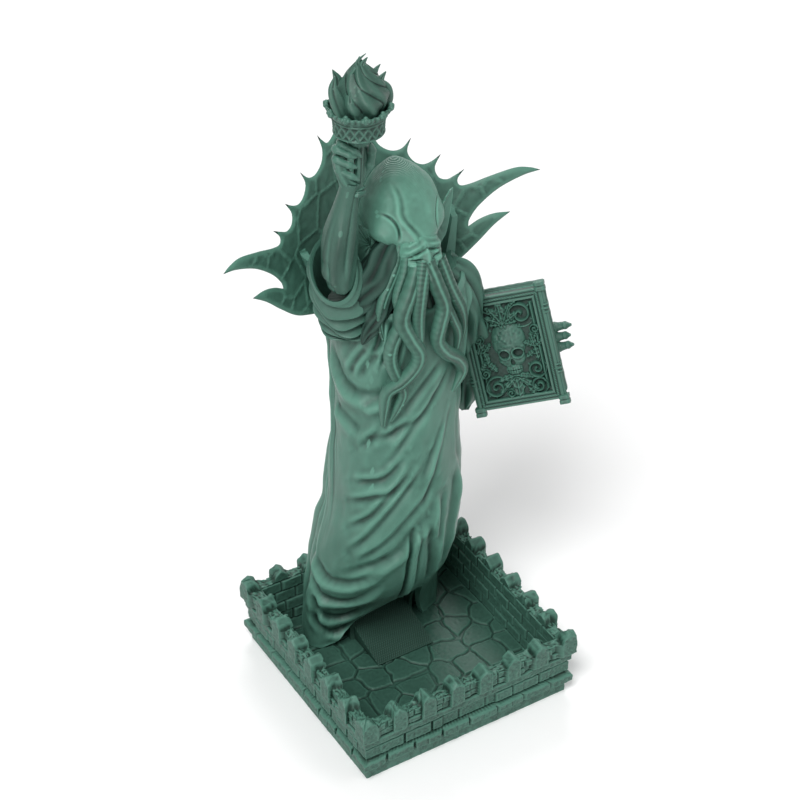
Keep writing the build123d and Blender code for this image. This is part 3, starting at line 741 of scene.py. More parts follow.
tentacle_plastic = print_plastic("tentacle_plastic", (0.106, 0.272, 0.205), (0.024, 0.070, 0.050), 0.36)
tentacles = {
    "tentacle_middle": (("tentacle_centre",), [
        (-1.4, -11.6, 178.5, 2.6), (-4.2, -14.6, 172, 2.6), (-5.4, -15.4, 162, 2.2), (-4.8, -15.2, 153, 1.7),
        (-4.2, -14.6, 146, 1.0)]),
    "tentacle_long": (("tentacle_left_inner",), [
        (-3.4, -11.0, 177, 2.2), (-7.6, -14.0, 171, 2.6), (-10.4, -13.8, 162.5, 2.8),
        (-8.2, -14.8, 155.4, 2.6), (-5.3, -15.6, 149, 2.5), (-6.2, -15.4, 143.6, 2.3),
        (-10.4, -14.2, 138.4, 2.2), (-14.4, -12.0, 134.6, 2.1), (-15.2, -11.2, 128.4, 1.8),
        (-15.2, -10.6, 120.6, 0.7)]),
    "tentacle_under": (("tentacle_left_outer",), [
        (-6.0, -10.6, 172, 2.0), (-9.2, -12.4, 161, 2.2), (-12.9, -12.2, 152, 2.3), (-13.3, -12.2, 146, 2.2),
        (-11.2, -12.8, 139, 2.0), (-9.4, -13.0, 133, 1.8), (-11.2, -12.4, 127, 1.4),
        (-13.2, -11.6, 122, 0.6)]),
    "tentacle_right": (("tentacle_right_inner",), [
        (-0.4, -11.6, 178.5, 2.6), (1.0, -15.0, 172, 2.6), (3.6, -15.6, 163.7, 2.5), (2.2, -15.8, 156.8, 2.5),
        (1.3, -15.8, 151, 2.4), (4.6, -15.4, 145.2, 2.4), (10.6, -13.6, 139, 2.3), (13.2, -12.2, 132.6, 1.9),
        (9.0, -13.6, 126.6, 0.6)]),
    "tentacle_loop": (("tentacle_right_outer",), [
        (3.4, -10.4, 174, 2.0), (5.0, -13.2, 164, 1.8), (8.4, -13.8, 155, 1.6), (10.8, -13.0, 148.5, 1.5),
        (10.0, -13.2, 141, 0.8)]),
    "tentacle_cheek": ((), [
        (5.4, -9.6, 177, 2.2), (8.0, -12.2, 167, 2.2), (12.4, -11.6, 157, 2.0), (15.2, -9.6, 148, 1.2),
        (14.4, -9.8, 142, 0.5)]),
    "tentacle_inner_left": ((), [
        (-3.6, -6.4, 183, 1.6), (-6.6, -9.6, 176, 1.8), (-10.4, -11.2, 168, 1.6), (-9.6, -12.2, 161, 1.3),
        (-12.8, -11.4, 155, 1.0), (-12.0, -12.0, 149, 0.4)]),
    "tentacle_side_left": ((), [
        (-4.6, -4.0, 185, 1.8), (-8.2, -7.0, 177, 1.9), (-13.6, -8.6, 168, 1.7), (-15.4, -9.0, 160, 1.3),
        (-14.4, -9.8, 153, 0.5)]),
}
for name, (nodes, points) in tentacles.items():
    capped_tube(name, limb(points, rows=190, shape=strand), tentacle_plastic, *nodes, crease=80)

# the neck: cords of muscle between the head and the bridge, in the shade of the tentacles; their dark plastic
# is painted shade
cords = limb([(0, -3.0, 160.2, 9.0), (0, -2.4, 166, 8.4), (0, -1.0, 173, 8.6), (0, 0.5, 181, 8.0)], 60, 110,
             shape=lambda t, a: 1 + 0.06 * np.sin(9 * a + 4 * t) + 0.03 * np.sin(17 * a - 6 * t))
capped_tube("neck_cords", cords, chute_plastic_painted_shade, "neck")

# ---------------------------------------------------------------- neckline
# Between the raised sleeve and the neck the robe bunches up in deep, narrow folds that lie in
# the shade of the head: two crumpled rolls of cloth, darker than the rest, as painted shade.
fold_plastic_painted_shade = print_plastic("fold_plastic_painted_shade", (0.022, 0.066, 0.049), (0.005, 0.016, 0.012), 0.6, gloss=0.0)


def crumple(t, a):
    """Section of bunched cloth: narrow folds that wind round the roll and cross each other."""
    return (1 + 0.13 * np.sin(5 * a + 4 * t) + 0.08 * np.sin(9 * a - 7 * t + 2 * np.sin(9 * t))
            + 0.04 * np.sin(26 * t + 3 * a))


neckline_rolls = [
    [(-23.0, -1.0, 158.0, 1.0), (-19.0, -2.5, 165.0, 4.2), (-14.0, -2.8, 171.5, 5.4),
     (-9.0, -2.4, 178.0, 5.2), (-5.0, -2.0, 184.0, 3.0)],
    [(-20.0, -6.0, 151.0, 0.6), (-16.8, -6.8, 158.0, 3.0), (-13.0, -6.0, 165.5, 4.0),
     (-9.0, -4.6, 173.0, 4.0)],
]
for number, points in enumerate(neckline_rolls):
    roll = limb(points, 84, 72, shape=crumple, blunt=0.1)
    capped_tube(f"neckline_roll_{number + 1}", roll, fold_plastic_painted_shade)

# ---------------------------------------------------------------- ear fins
# A ribbed gill fin stands out behind each cheek: a thin fan with rays, thick at the root.
fin_rim = through([(-1, -7), (3.2, -4), (5.2, 2), (6.4, 9), (3.6, 8.2), (1.8, 6.4), (-1, 6)], 160)
for name, s in (("left", -1), ("right", 1)):
    reach = np.concatenate([np.linspace(0, 1, 40), np.linspace(1, 0, 40)])
    face_of = np.repeat([1.0, -1.0], 40)
    ray = 0.5 + 0.5 * np.cos(np.linspace(0, 1, 160)[:, None] * 2 * np.pi * 9)
    px = -1 + (fin_rim[:, :1] + 1) * reach
    pz = fin_rim[:, 1:] * reach * (1 - 0.04 * ray)
    thick = face_of * (0.15 + (0.55 + 0.35 * ray) * (1 - reach))
    rows = xyz(s * (12.4 + px * 0.94 + thick * 0.33), 3.4 + px * 0.33 - thick * 0.94 - 2.5 * reach,
               180.5 + pz * 1.15)
    capped_tube(f"gill_fin_{name}", rows, tentacle_plastic, f"ear_fin_{name}", crease=60)

# ---------------------------------------------------------------- wings
# A crest of webbed wings stands behind the shoulders: small hooked claws up to the crown and
# two great talons to each side. The web is a thin sheet with a net of raised veins.
wing_plastic = print_plastic("wing_plastic", (0.080, 0.207, 0.154), (0.015, 0.046, 0.033), 0.40)
# the outline in x and z; each run goes from one claw's tip round the web to the next tip
wing_runs = [
    [(0.5, 160.0), (0.5, 205.0)],
    [(0.5, 205.0), (2.4, 200.4), (6.4, 197.8), (8.8, 199.6), (10.8, 202.2)],
    [(10.8, 202.2), (9.4, 197.0), (10.4, 193.2), (13.6, 190.9), (17.0, 191.3), (20.2, 194.6)],
    [(20.2, 194.6), (18.6, 190.2), (20.0, 186.9), (22.6, 185.5), (25.4, 186.3), (28.4, 188.4)],
    [(28.4, 188.4), (26.2, 184.2), (26.9, 180.9), (29.2, 179.9), (31.8, 181.0), (35.0, 182.9)],
    [(35.0, 182.9), (32.6, 179.8), (33.0, 177.6), (36.0, 177.8), (42.5, 179.9), (50.0, 181.9),
     (54.5, 181.6), (57.6, 180.5)],
    [(57.6, 180.5), (52.0, 179.0), (44.5, 175.4), (38.2, 170.3), (34.9, 166.0), (34.2, 163.5)],
    [(34.2, 163.5), (38.0, 165.8), (42.5, 167.2), (47.4, 167.3)],
    [(47.4, 167.3), (42.0, 163.2), (36.5, 157.8), (30.0, 152.2), (22.0, 148.4)],
    [(22.0, 148.4), (12.0, 150.0), (0.5, 160.0)],
]
edge = np.concatenate([through(run, 10 * len(run))[1:] for run in wing_runs])
ends = np.roll(edge, -1, axis=0)
x, z = np.meshgrid(np.arange(0.7, 58, 0.5), np.arange(148.2, 205, 0.5))
net = np.stack([x + 0.17 * np.sin(7 * z), z + 0.17 * np.sin(5 * x)], -1).reshape(-1, 2)


def edge_distance(points):
    """Distance from each point to the nearest stretch of the outline."""
    d = ends - edge
    w = points[:, None] - edge
    t = np.clip((w * d).sum(-1) / (d * d).sum(-1), 0, 1)
    return np.linalg.norm(w - t[..., None] * d, axis=-1).min(1)


# a point of the net is inside the outline if a level line from it crosses the outline an odd
# number of times
crosses = (edge[:, 1] > net[:, None, 1]) != (ends[:, 1] > net[:, None, 1])
slope = (ends[:, 0] - edge[:, 0]) / (ends[:, 1] - edge[:, 1] + 1e-9)
cut_x = edge[:, 0] + (net[:, None, 1] - edge[:, 1]) * slope
net = net[(crosses & (net[:, None, 0] < cut_x)).sum(1) % 2 == 1]
net = net[edge_distance(net) > 0.25]
flat = np.concatenate([edge, net])
loop = [(k, (k + 1) % len(edge)) for k in range(len(edge))]
flat, _, web, _, _, _ = delaunay_2d_cdt([Vector(p) for p in flat.tolist()], loop, [], 1, 1e-5)
flat, web = np.array(flat), np.array(web)
to_rim = edge_distance(flat)
inside_web = to_rim > 1e-3
first, second, _ = cells(flat[:, 0] + 3, flat[:, 1] + 0.3 * flat[:, 0], 9.0, 3.0)
vein = 1 - step(second - first, 0.15, 0.8)
pit = step(second - first, 0.8, 3.4)
spot = xyz(*flat.T, 0)
half = (0.75 * (1 - np.exp(-to_rim / 0.5)) + 0.25 * step(to_rim, 0.6, 4.0) + step(to_rim, 0.3, 2.0)
        * (0.28 * vein - 0.16 * pit + 0.10 * lump(spot, 2.0, 6)))
half = half * inside_web
# each wing is a plane that sweeps back towards its outer tip and leans back towards the top
sweep, lean = -0.4155, 0.219
sheet = xyz(flat[:, 0], 35.3 + sweep * flat[:, 0] + lean * (flat[:, 1] - 179.4), flat[:, 1])
wing_out = np.array([0.376, 0.905, -0.198])
second_side = np.where(inside_web, len(flat) + np.cumsum(inside_web) - 1, np.arange(len(flat)))
web_faces = np.concatenate([web, second_side[web][:, ::-1]])
puff = wing_out * half[:, None]
web_verts = np.concatenate([sheet - puff, (sheet + puff)[inside_web]])
for name, s in (("left", -1), ("right", 1)):
    make_piece(f"webbed_wing_{name}", web_verts * [s, 1, 1], web_faces.tolist(), wing_plastic,
               f"wing_{name}", crease=60)

# ---------------------------------------------------------------- torch arm
# The raised arm comes up out of a wide sleeve that has slipped to the elbow: a thin open bag
# of cloth with looped folds. The forearm is long and lean, with one muscle standing out.
arm_plastic = print_plastic("arm_plastic", (0.066, 0.172, 0.129), (0.015, 0.044, 0.032), 0.38)
sleeve_base = np.array([-17.5, 6.0, 151.5])
mouth = np.array([-26.6, -0.8, 178.0])
across_dir = np.array([0.85, -0.52, 0.05])
mouth_up, base_up = np.array([0.12, 0.36, 0.925]), np.array([0.35, 0.90, 0.1])
sag = np.array([0.5, 0.5, -1.2])
angle = circle(210)


def sleeve_ring(t, inset):
    """A ring of the sleeve: t runs from the shoulder to the mouth, and the rings widen and turn
    from level to the tilted oval of the mouth; inset draws the ring in for the inner wall."""
    t = np.asarray(t)[:, None, None]
    a = angle[None, :, None]
    centre = sleeve_base + (mouth - sleeve_base) * t**1.15 + sag * np.sin(np.pi * t)
    long_side = mouth_up * t + base_up * (1 - t)
    long_side = long_side / np.linalg.norm(long_side, axis=-1, keepdims=True)
    wide = 9.0 - 1.5 * t - inset
    tall = 8.6 + 2.2 * t**1.5 - inset
    return centre + across_dir * wide * np.cos(a) + long_side * tall * np.sin(a)


rise = np.linspace(0.0, 1, 120)
outside = sleeve_ring(rise, 0)
depth_in = np.linspace(1, 0.42, 60)
inside = sleeve_ring(depth_in, 1.3 + 3.0 * (1 - depth_in[:, None, None]))
centre = outside.mean(1, keepdims=True)
out = outside - centre
out /= np.linalg.norm(out, axis=-1, keepdims=True)
t, a = rise[:, None], angle[None, :]
loops = (1.25 * np.sin(33 * t + 3.0 * np.cos(a) + 0.8 * np.sin(2 * a)) * (0.62 - 0.38 * np.sin(a))
         + 0.5 * np.sin(5 * a + 7 * t) + 0.5 * lump(outside, 4.0, 3))
outside = outside + out * (loops * step(1 - t, 0.0, 0.08) * step(t, 0, 0.1))[..., None]
lip = sleeve_ring([1.03], 0.5)
capped_tube("raised_sleeve", np.concatenate([outside, lip, inside]), arm_plastic, "torch_sleeve")


def muscle(t, a):
    """Forearm section: a long valley down its front, a strap of muscle beside it, a bony elbow."""
    valley, strap = from_front(a - 0.25 - 0.7 * t), from_front(a + 0.30 - 0.4 * t)
    low = step(0.74 - t, 0, 0.25)
    elbow = np.sin(38 * t + 3 * a) * ridge(from_front(a + 1.1), 0.5) * step(0.5 - t, 0, 0.2)
    return (1 - 0.20 * ridge(valley, 0.20) * step(t, 0.22, 0.45)
            + 0.15 * ridge(strap, 0.3) * low * step(t, 0.12, 0.3) - 0.08 * ridge(strap + 0.62, 0.16) * low
            + 0.09 * elbow + 0.03 * np.sin(3 * a + 5 * t) + 0.03 * np.sin(7 * a - 9 * t) * low)


arm_front = (-0.5, -0.85, 0)
forearm = limb([(-24.6, -3.0, 170.6, 1.4), (-24.9, -2.8, 173.2, 3.6), (-25.4, -2.2, 178, 5.0),
                (-25.2, -1.9, 185, 5.5), (-24.5, -2.3, 193, 5.1), (-23.3, -3.0, 201, 3.8),
                (-22.3, -3.7, 207, 3.1), (-21.8, -4.0, 210.0, 3.0)],
               190, 120, facing=arm_front, shape=muscle)
capped_tube("forearm", forearm, arm_plastic, "torch_forearm")

# ---------------------------------------------------------------- torch hand
# A thin clawed hand: the palm is a cup behind the handle, four bony fingers wrap it from the
# left and the thumb stands up on its right.
torch_x, torch_y = -18.9, -4.0
palm = limb([(-21.8, -3.6, 208.0, 3.1), (-23.4, -2.2, 212.0, 2.6), (-23.6, -0.8, 216.0, 2.9),
             (-22.6, 0.2, 219.6, 1.9), (-21.0, 0.6, 221.6, 1.0)], 80, 60, facing=(-0.85, 0.5, 0),
            shape=lambda t, a: 1 - 0.30 * np.cos(2 * a) * step(t, 0, 0.3) + 0.05 * np.sin(9 * a + 6 * t))
capped_tube("torch_palm", palm, arm_plastic, "torch_hand")
heel = limb([(-20.6, -2.6, 206.6, 2.6), (-17.6, -1.4, 209.0, 2.4), (-15.6, -0.8, 213.0, 2.0),
             (-15.2, -0.6, 217.5, 1.7), (-16.2, 0.2, 221.4, 1.0)], 70, 50, facing=(0.85, -0.5, 0),
            shape=lambda t, a: 1 - 0.25 * np.cos(2 * a) * step(t, 0, 0.3))
capped_tube("torch_heel", heel, arm_plastic)


def knuckled(t, a):
    """A finger's section: it swells at two knuckles and flattens a little on the inside."""
    return 1 + 0.26 * ridge(t - 0.36, 0.07) + 0.2 * ridge(t - 0.7, 0.06) - 0.06 * np.cos(a)


finger_path = np.array([(-22.2, 0.6, 217.2, 1.25), (-24.6, -0.4, 220.2, 1.2), (-25.5, -2.8, 221.0, 1.15),
                        (-24.0, -4.6, 220.3, 1.0), (-22.2, -5.8, 219.4, 0.85), (-20.9, -6.0, 218.7, 0.35)])
# each finger repeats the path, moved by (x, y, z) in mm, and its tip curls down a little more or less
for number, (*move, curl) in enumerate(((1.4, -0.3, 1.6, 0.9), (0, 0, 0, 0), (-0.1, -0.1, -3.4, 0),
                                        (0.5, -0.3, -6.9, 0.5))):
    points = finger_path + np.array([*move, 0])
    points[3:, 2] -= curl * np.array([0.4, 1.0, 2.0])
    finger = limb(points, 70, 28, facing=(0, 0, 1), shape=knuckled)
    capped_tube(f"torch_finger_{number + 1}", finger, arm_plastic)
thumb = limb([(-17.6, -1.6, 208.6, 1.8), (-15.4, -2.2, 211.4, 1.5), (-14.4, -3.2, 215.0, 1.25),
              (-14.8, -4.2, 218.6, 1.1), (-15.8, -5.0, 221.4, 0.45)],
             64, 30, facing=arm_front, shape=knuckled)
capped_tube("torch_thumb", thumb, arm_plastic)

# ---------------------------------------------------------------- torch
# A turned torch: a slim handle with a beaded foot, a drum with a lattice of small arches, and
# a flared rim crowned with leaf clusters. The flame stands in an inner ring.
torch_plastic = print_plastic("torch_plastic", (0.067, 0.171, 0.129), (0.014, 0.041, 0.030), 0.40)


def turned(profile, cols, rows, relief):
    """A lathe-turned shape: rings round the torch's axis through (radius, height) points, with
    relief(height, angle) added to the radius."""
    line = through(profile, rows)
    a = circle(cols)
    radius = np.maximum(line[:, :1], 0.05) + relief(line[:, 1:], a)
    return xyz(torch_x + radius * np.cos(a), torch_y + radius * np.sin(a), line[:, 1:])


z0 = 205.0
handle = turned([(0.3, z0), (2.0, z0 + 0.2), (2.7, z0 + 0.8), (2.7, z0 + 1.4), (1.8, z0 + 2.0),
                 (2.0, z0 + 2.5), (1.4, z0 + 3.2), (1.35, z0 + 8), (1.45, z0 + 14), (1.6, z0 + 16.6),
                 (1.6, z0 + 17.4)], 60, 120, lambda h, a: 0.10 * np.cos(8 * a) * step(h, z0 + 3, z0 + 5))
lean = np.clip((z0 + 16 - handle[..., 2]) / 16, 0, 1)
handle[..., :2] -= np.array([1.2, 1.0]) * lean[..., None]
capped_tube("handle", handle, torch_plastic, "torch_handle", crease=60)


def gallery(h, a):
    """Relief of the cup: a lattice of arches between two mouldings, and leaf clusters on the rim."""
    drum = step(h, 226.4, 226.9) * (1 - step(h, 230.6, 231.1))
    lattice = np.abs(np.sin(9 * a + (h - 226.5) * 0.8)) * np.abs(np.sin(9 * a - (h - 226.5) * 0.8))
    mould = 0.3 * ridge(h - 226.2, 0.3) + 0.3 * ridge(h - 231.2, 0.3)
    leaf = np.clip(np.cos(10 * a), -0.2, 1)
    crown = step(h, 232.4, 233.4) * (0.55 * leaf + 0.22 * np.cos(30 * a))
    return mould + drum * (0.55 * (1 - lattice**0.6) - 0.35) + crown


cup = turned([(0.2, 222.0), (2.9, 222.1), (3.6, 222.9), (5.2, 224.6), (6.8, 225.6), (7.5, 226.4),
              (7.6, 228.5), (7.9, 231.0), (8.2, 231.9), (9.1, 233.0), (9.6, 234.0), (9.3, 234.6),
              (8.6, 234.2), (8.1, 232.6), (7.9, 231.4), (6.6, 230.9), (6.4, 231.6), (6.2, 232.8),
              (5.7, 232.9), (5.5, 231.8), (4.4, 231.2), (0.2, 231.0)], 300, 160, gallery)
cup[..., 2] += 0.9 * np.clip(np.cos(10 * circle(300)), 0, 1) * ridge(cup[..., 2] - 234.4, 0.5)
capped_tube("torch_gallery", cup, torch_plastic, "torch_cup", crease=50)

# ten clusters of four beads along the rim; each bead is a small ball of rings and two caps
fall, a = np.linspace(0.15, np.pi - 0.15, 10)[:, None], circle(14)
ball = xyz(np.sin(fall) * np.cos(a), np.sin(fall) * np.sin(a), np.cos(fall)).reshape(-1, 3)
ball_faces = grid_faces(10, 14, ring=True) + [list(range(14))[::-1], list(range(126, 140))]
verts, faces = [], []
for cluster in circle(10):
    for turn_by, rise, size, radius in ((-0.085, 0, 0.62, 9.65), (0.085, 0, 0.62, 9.65), (0, 0.75, 0.72, 9.3),
                                        (0, -0.5, 0.6, 9.65)):
        a = cluster + turn_by
        faces += [[len(ball) * len(verts) + k for k in face] for face in ball_faces]
        verts.append(ball * size + (torch_x + radius * np.cos(a), torch_y + radius * np.sin(a), 234.3 + rise))
make_piece("rim_beads", np.concatenate(verts), faces, torch_plastic, crease=80)

# the flame: a twisted body of ridges drawn up to a tip, with tongues licking off it, each of
# them given by (x, y, z, radius) points with x and y from the torch's axis
flame_plastic = print_plastic("flame_plastic", (0.054, 0.138, 0.103), (0.009, 0.027, 0.020), 0.38)


def licks(h, a):
    """Ridges that climb the flame and twist to the left as they rise."""
    flame_h = np.clip(h, 231, 249)
    up = (flame_h - 231) / 18
    crests = np.abs(np.sin(3 * a + 5.2 * up - 1.6 * np.sin(up * 5)))**0.7
    rough = 1.5 * (crests - 0.55) + 0.5 * np.sin(9 * a + 13 * up)
    return rough * (1 - up)**0.6 * step(flame_h, 230.8, 233.5) * step(249.6 - h, 0, 3)


flame = turned([(0.3, 230.9), (5.0, 231.2), (6.2, 233.0), (7.5, 236.0), (7.5, 238.5), (6.1, 241.5),
                (4.2, 244.2), (2.2, 246.6), (0.9, 248.2), (0.2, 249.6)], 220, 160, licks)
up = np.clip((flame[..., 2] - 231) / 18, 0, 1)
flame[..., 0] += 1.6 * up**1.5 + 0.9 * np.sin(up * 4.2) * up
flame[..., 1] += -0.6 * np.sin(up * 5) * up
capped_tube("flame_body", flame, flame_plastic, "torch_flame")
tongues = [
    [(-5.0, -1.5, 231.5, 1.9), (-7.0, -1.6, 235.5, 2.2), (-8.4, -1.4, 239.5, 1.9), (-8.9, -1.0, 243.0, 1.3),
     (-8.2, -0.8, 246.4, 0.2)],
    [(4.6, -1.8, 231.5, 1.9), (7.4, -2.0, 234.5, 2.1), (8.0, -1.6, 238.0, 1.8), (6.6, -1.2, 241.0, 1.2),
     (8.4, -1.4, 243.6, 0.15)],
    [(4.0, 1.0, 234.0, 1.8), (6.0, 1.0, 238.5, 1.9), (5.4, 0.6, 242.5, 1.2), (6.0, 0.2, 244.2, 0.7),
     (7.4, 0.0, 245.6, 0.12)],
    [(1.0, -1.0, 241.5, 1.8), (2.2, -0.6, 244.8, 1.4), (1.2, -0.4, 247.4, 0.9), (2.8, -0.6, 249.4, 0.12)],
    [(-2.6, 0.8, 240.0, 1.8), (-1.8, 0.6, 244.2, 1.4), (0.0, 0.2, 246.6, 1.1), (0.0, 0.0, 248.8, 0.5),
     (2.4, -0.4, 250.6, 0.1)],
    [(-3.2, 4.2, 232.0, 2.0), (-4.6, 5.4, 237.0, 2.0), (-4.0, 5.0, 241.5, 1.4), (-5.4, 5.2, 245.0, 0.15)],
    [(3.0, 4.6, 232.0, 2.0), (4.0, 5.8, 236.5, 1.9), (3.2, 5.2, 240.5, 1.3), (4.4, 5.6, 243.6, 0.15)],
    [(-2.0, -4.6, 231.6, 1.5), (-3.6, -4.9, 235.0, 1.5), (-5.0, -4.0, 238.4, 1.1), (-4.6, -3.2, 241.6, 0.15)],
]


def tongue(t, a):
    """Section of a tongue of flame: three soft edges that wind up it, and a groove down its front."""
    return 1 + 0.14 * np.cos(3 * a + 4 * t) - 0.16 * ridge(from_front(a), 0.3)


for number, points in enumerate(tongues):
    placed = np.array(points) + (torch_x, torch_y, 0, 0)
    rows = limb(placed, 80, 48, facing=(-0.5, -0.85, 0.05), shape=tongue)
    capped_tube(f"flame_tongue_{number + 1}", rows, flame_plastic)

# ---------------------------------------------------------------- book
# A heavy closed book held by its back: two boards, a block of pages, turned posts down the
# long edges with square feet, and a cover carved with a skull, scrolls and leaves.
book_plastic = print_plastic("book_plastic", (0.067, 0.176, 0.132), (0.007, 0.025, 0.018), 0.42)
book_c = np.array([36.6, -5.0, 127.2])
book_right = np.array([0.758, -0.590, 0.281])
book_front = np.array([-0.653, -0.696, 0.2985])
book_right /= np.linalg.norm(book_right)
book_front -= book_right * (book_front @ book_right)
book_front /= np.linalg.norm(book_front)
book_up = np.cross(book_front, book_right)
book_w, book_h = 28.4, 38.6
cover_t, page_t = 1.6, 6.2


def on_book(points):
    """Places points given in the book's own plane: right, up the cover, out of the cover."""
    p = np.asarray(points, float)
    return book_c + p[..., :1] * book_right + p[..., 1:2] * book_up + p[..., 2:] * book_front


def scroll(x, y, cx, cy, size, turn_by, hand):
    """A spiral ridge: about the centre, the radius grows by a fixed step each turn."""
    dx, dy = (x - cx) * hand, y - cy
    r, a = np.hypot(dx, dy), np.arctan2(dy, dx) + turn_by
    pitch = size / 1.7
    phase = r / pitch - a / (2 * np.pi)
    arm = ridge((phase - np.round(phase)) * pitch, 0.42)
    curls = 0.35 * ridge(np.abs(np.sin(2.5 * a)) * r * 0.3, 0.25) * step(r, 0.75 * size, 0.9 * size)
    return (arm + curls) * (1 - step(r, 0.92 * size, 1.12 * size))


def leaf(x, y, cx, cy, length, width, turn_by):
    """A pointed lobed leaf with a midrib, growing from (cx, cy) in the direction turn_by."""
    dx, dy = x - cx, y - cy
    along = dx * np.cos(turn_by) + dy * np.sin(turn_by)
    side = -dx * np.sin(turn_by) + dy * np.cos(turn_by)
    t = np.clip(along / length, 0, 1)
    bulge = np.sqrt(np.sin(np.pi * np.clip(t * 0.92 + 0.06, 0, 1)))
    half = width * bulge * (1 - 0.28 * np.abs(np.sin(t * 11)))
    body = step(half - np.abs(side), -0.15, 0.35) * (along > 0) * (along < length)
    return body * (0.75 + 0.25 * ridge(side, 0.3) - 0.25 * np.abs(np.sin(t * 11 + np.abs(side))))


def skull(x, y):
    """A skull in relief: a domed cranium, brow, deep sockets, nose hollow, cheekbones and jaw."""
    dome = np.sqrt(np.clip(1 - (x / 5.4)**2 - ((y - 2.2) / 6.6)**2, 0, 1))
    cheek = np.sqrt(np.clip(1 - (x / 4.3)**2 - ((y + 3.4) / 3.4)**2, 0, 1)) * 0.9
    jaw = np.sqrt(np.clip(1 - (x / 2.6)**2 - ((y + 7.0) / 3.0)**2, 0, 1)) * 0.75
    h = np.maximum(np.maximum(1.25 * dome, cheek), jaw)
    for s in (-1, 1):
        eye = np.hypot((x - s * 2.15) / 1.6, (y + 1.9) / 1.45)
        h = h + 0.22 * ridge(eye - 1.15, 0.2) - 1.15 * (1 - step(eye, 0.7, 1.05)) * (h > 0.3)
        h = h + 0.16 * blob(np.stack([x, y], -1), (s * 3.6, -4.2), (0.9, 0.9))
    nose = np.hypot(x / 0.75, (y + 4.6 + 0.5 * np.abs(x)) / 1.2)
    h = h - 0.75 * (1 - step(nose, 0.7, 1.1)) * (h > 0.2)
    teeth = ridge(y + 7.4, 0.8) * np.abs(np.cos(x * np.pi / 0.8)) * (np.abs(x) < 2.4)
    return h + 0.14 * teeth - 0.2 * ridge(y + 7.4, 0.14) * (np.abs(x) < 2.3)


# the carving: leaves that fan out behind the skull (direction in degrees, length, width), scrolls
# (middle, size, turn in radians, hand) and the leaves between them (foot, length, width, direction)
crown_leaves = [(92, 8.0, 1.9), (122, 6.6, 1.7), (60, 6.8, 1.7), (152, 6.2, 1.5), (28, 6.4, 1.5),
                (-118, 4.6, 1.5), (-62, 5.6, 1.6), (178, 4.4, 1.2), (2, 4.8, 1.2)]
scrolls = [
    (-7.4, 10.4, 4.2, 2.2, -1), (5.9, 11.4, 4.4, 0.6, 1), (-7.0, -12.2, 3.9, 2.6, -1),
    (7.6, -7.6, 3.2, 5.0, 1), (7.2, -13.4, 3.0, 1.2, -1), (9.6, 5.8, 1.7, 1.0, 1), (-9.4, 5.0, 1.7, 1.0, -1),
    (-9.6, -6.8, 1.6, 4.0, -1), (-2.6, -14.6, 1.5, 3, 1)]
side_leaves = [
    (-8.8, 1.4, 4.6, 1.4, 100), (-8.6, 0.6, 3.8, 1.2, 45), (-8.8, 0.4, 3.0, 1.2, 160),
    (-8.6, 0.6, 4.4, 1.3, -80), (-8.4, -3.2, 4.4, 1.3, -50), (-8.6, -2.8, 3.4, 1.2, -130),
    (8.4, 0.2, 4.8, 1.4, 95), (8.4, 0.0, 3.8, 1.3, 30), (8.2, 0.2, 3.8, 1.3, 150), (8.4, 0.0, 4.6, 1.4, -85),
    (8.0, -1.6, 3.4, 1.2, -150), (8.8, 2.8, 3.0, 1.1, 60),
    (0.2, -8.6, 8.2, 2.4, -90), (0.4, -9.4, 8.4, 1.4, -40), (0.0, -9.4, 8.0, 1.4, -142),
    (0.4, -8.8, 6.4, 1.3, -14), (0.0, -8.8, 6.0, 1.3, -168), (3.6, -13.4, 4.4, 1.3, -60),
    (-3.4, 12.6, 3.4, 1.2, 120), (2.6, 14.0, 3.6, 1.2, 40), (-10.0, 14.4, 3.4, 1.2, -20)]


def carving(x, y):
    """Height of the carved panel in mm above the cover: a skull, a leaf crown, scrolls, leaves."""
    h = 1.9 * skull((x - 0.2) / 1.06, (y - 0.8) / 1.06)
    for turn_by, length, width in crown_leaves:
        h = np.maximum(h, 2.3 * leaf(x, y, -0.4, 9.2, length, width, radians(turn_by)))
    for place in scrolls:
        h = np.maximum(h, 1.9 * scroll(x, y, *place))
    for *place, turn_by in side_leaves:
        h = np.maximum(h, 2.0 * leaf(x, y, *place, radians(turn_by)))
    return h + 0.16 * lump(xyz(x, y, 0), 0.9, 2) * (h > 0.2)


half_w, half_h = book_w / 2, book_h / 2
x, y = np.meshgrid(np.linspace(-half_w, half_w, 250), np.linspace(-half_h, half_h, 330))
to_edge = np.minimum(half_w - np.abs(x), half_h - np.abs(y))
panel = step(to_edge, 3.1, 3.5)
frame_h = 0.95 - 0.25 * ridge(to_edge - 1.0, 0.3) - 0.35 * ridge(to_edge - 2.2, 0.28)
beading = 0.22 * np.abs(np.sin((x + y) * np.pi / 0.9)) * ridge(to_edge - 1.6, 0.35)
inner_post = 1.3 * ridge(np.abs(x) - 9.9, 0.55) * step(half_h - 4.2 - np.abs(y), -0.1, 0.3)
sunk = 0.6
carved = np.maximum(np.clip(carving(x, y), 0, 2.7), inner_post) - sunk
height = ((1 - panel) * (frame_h + beading) + panel * carved) * step(to_edge, -0.05, 0.25)
height_slab("book_front_board", xyz(x, y, height), -cover_t, book_plastic,
            "book_cover_front", "book_frame", "book_emblem", place=on_book, crease=40)
# a dark sheet under the carved panel shows in its sunk ground: its dark colour is painted shade between the
# carving
carving_shade_plastic = print_plastic("carving_shade_plastic", (0.020, 0.056, 0.042), (0.008, 0.024, 0.017), 0.5)
x, y = np.meshgrid(np.linspace(-10.95, 10.95, 60), np.linspace(-16.05, 16.05, 90))
height_slab("book_ground_shade", xyz(x, y, -0.42 + 0.06 * np.sin(3 * x) * np.sin(3 * y)), -1.0,
            carving_shade_plastic, place=on_book)


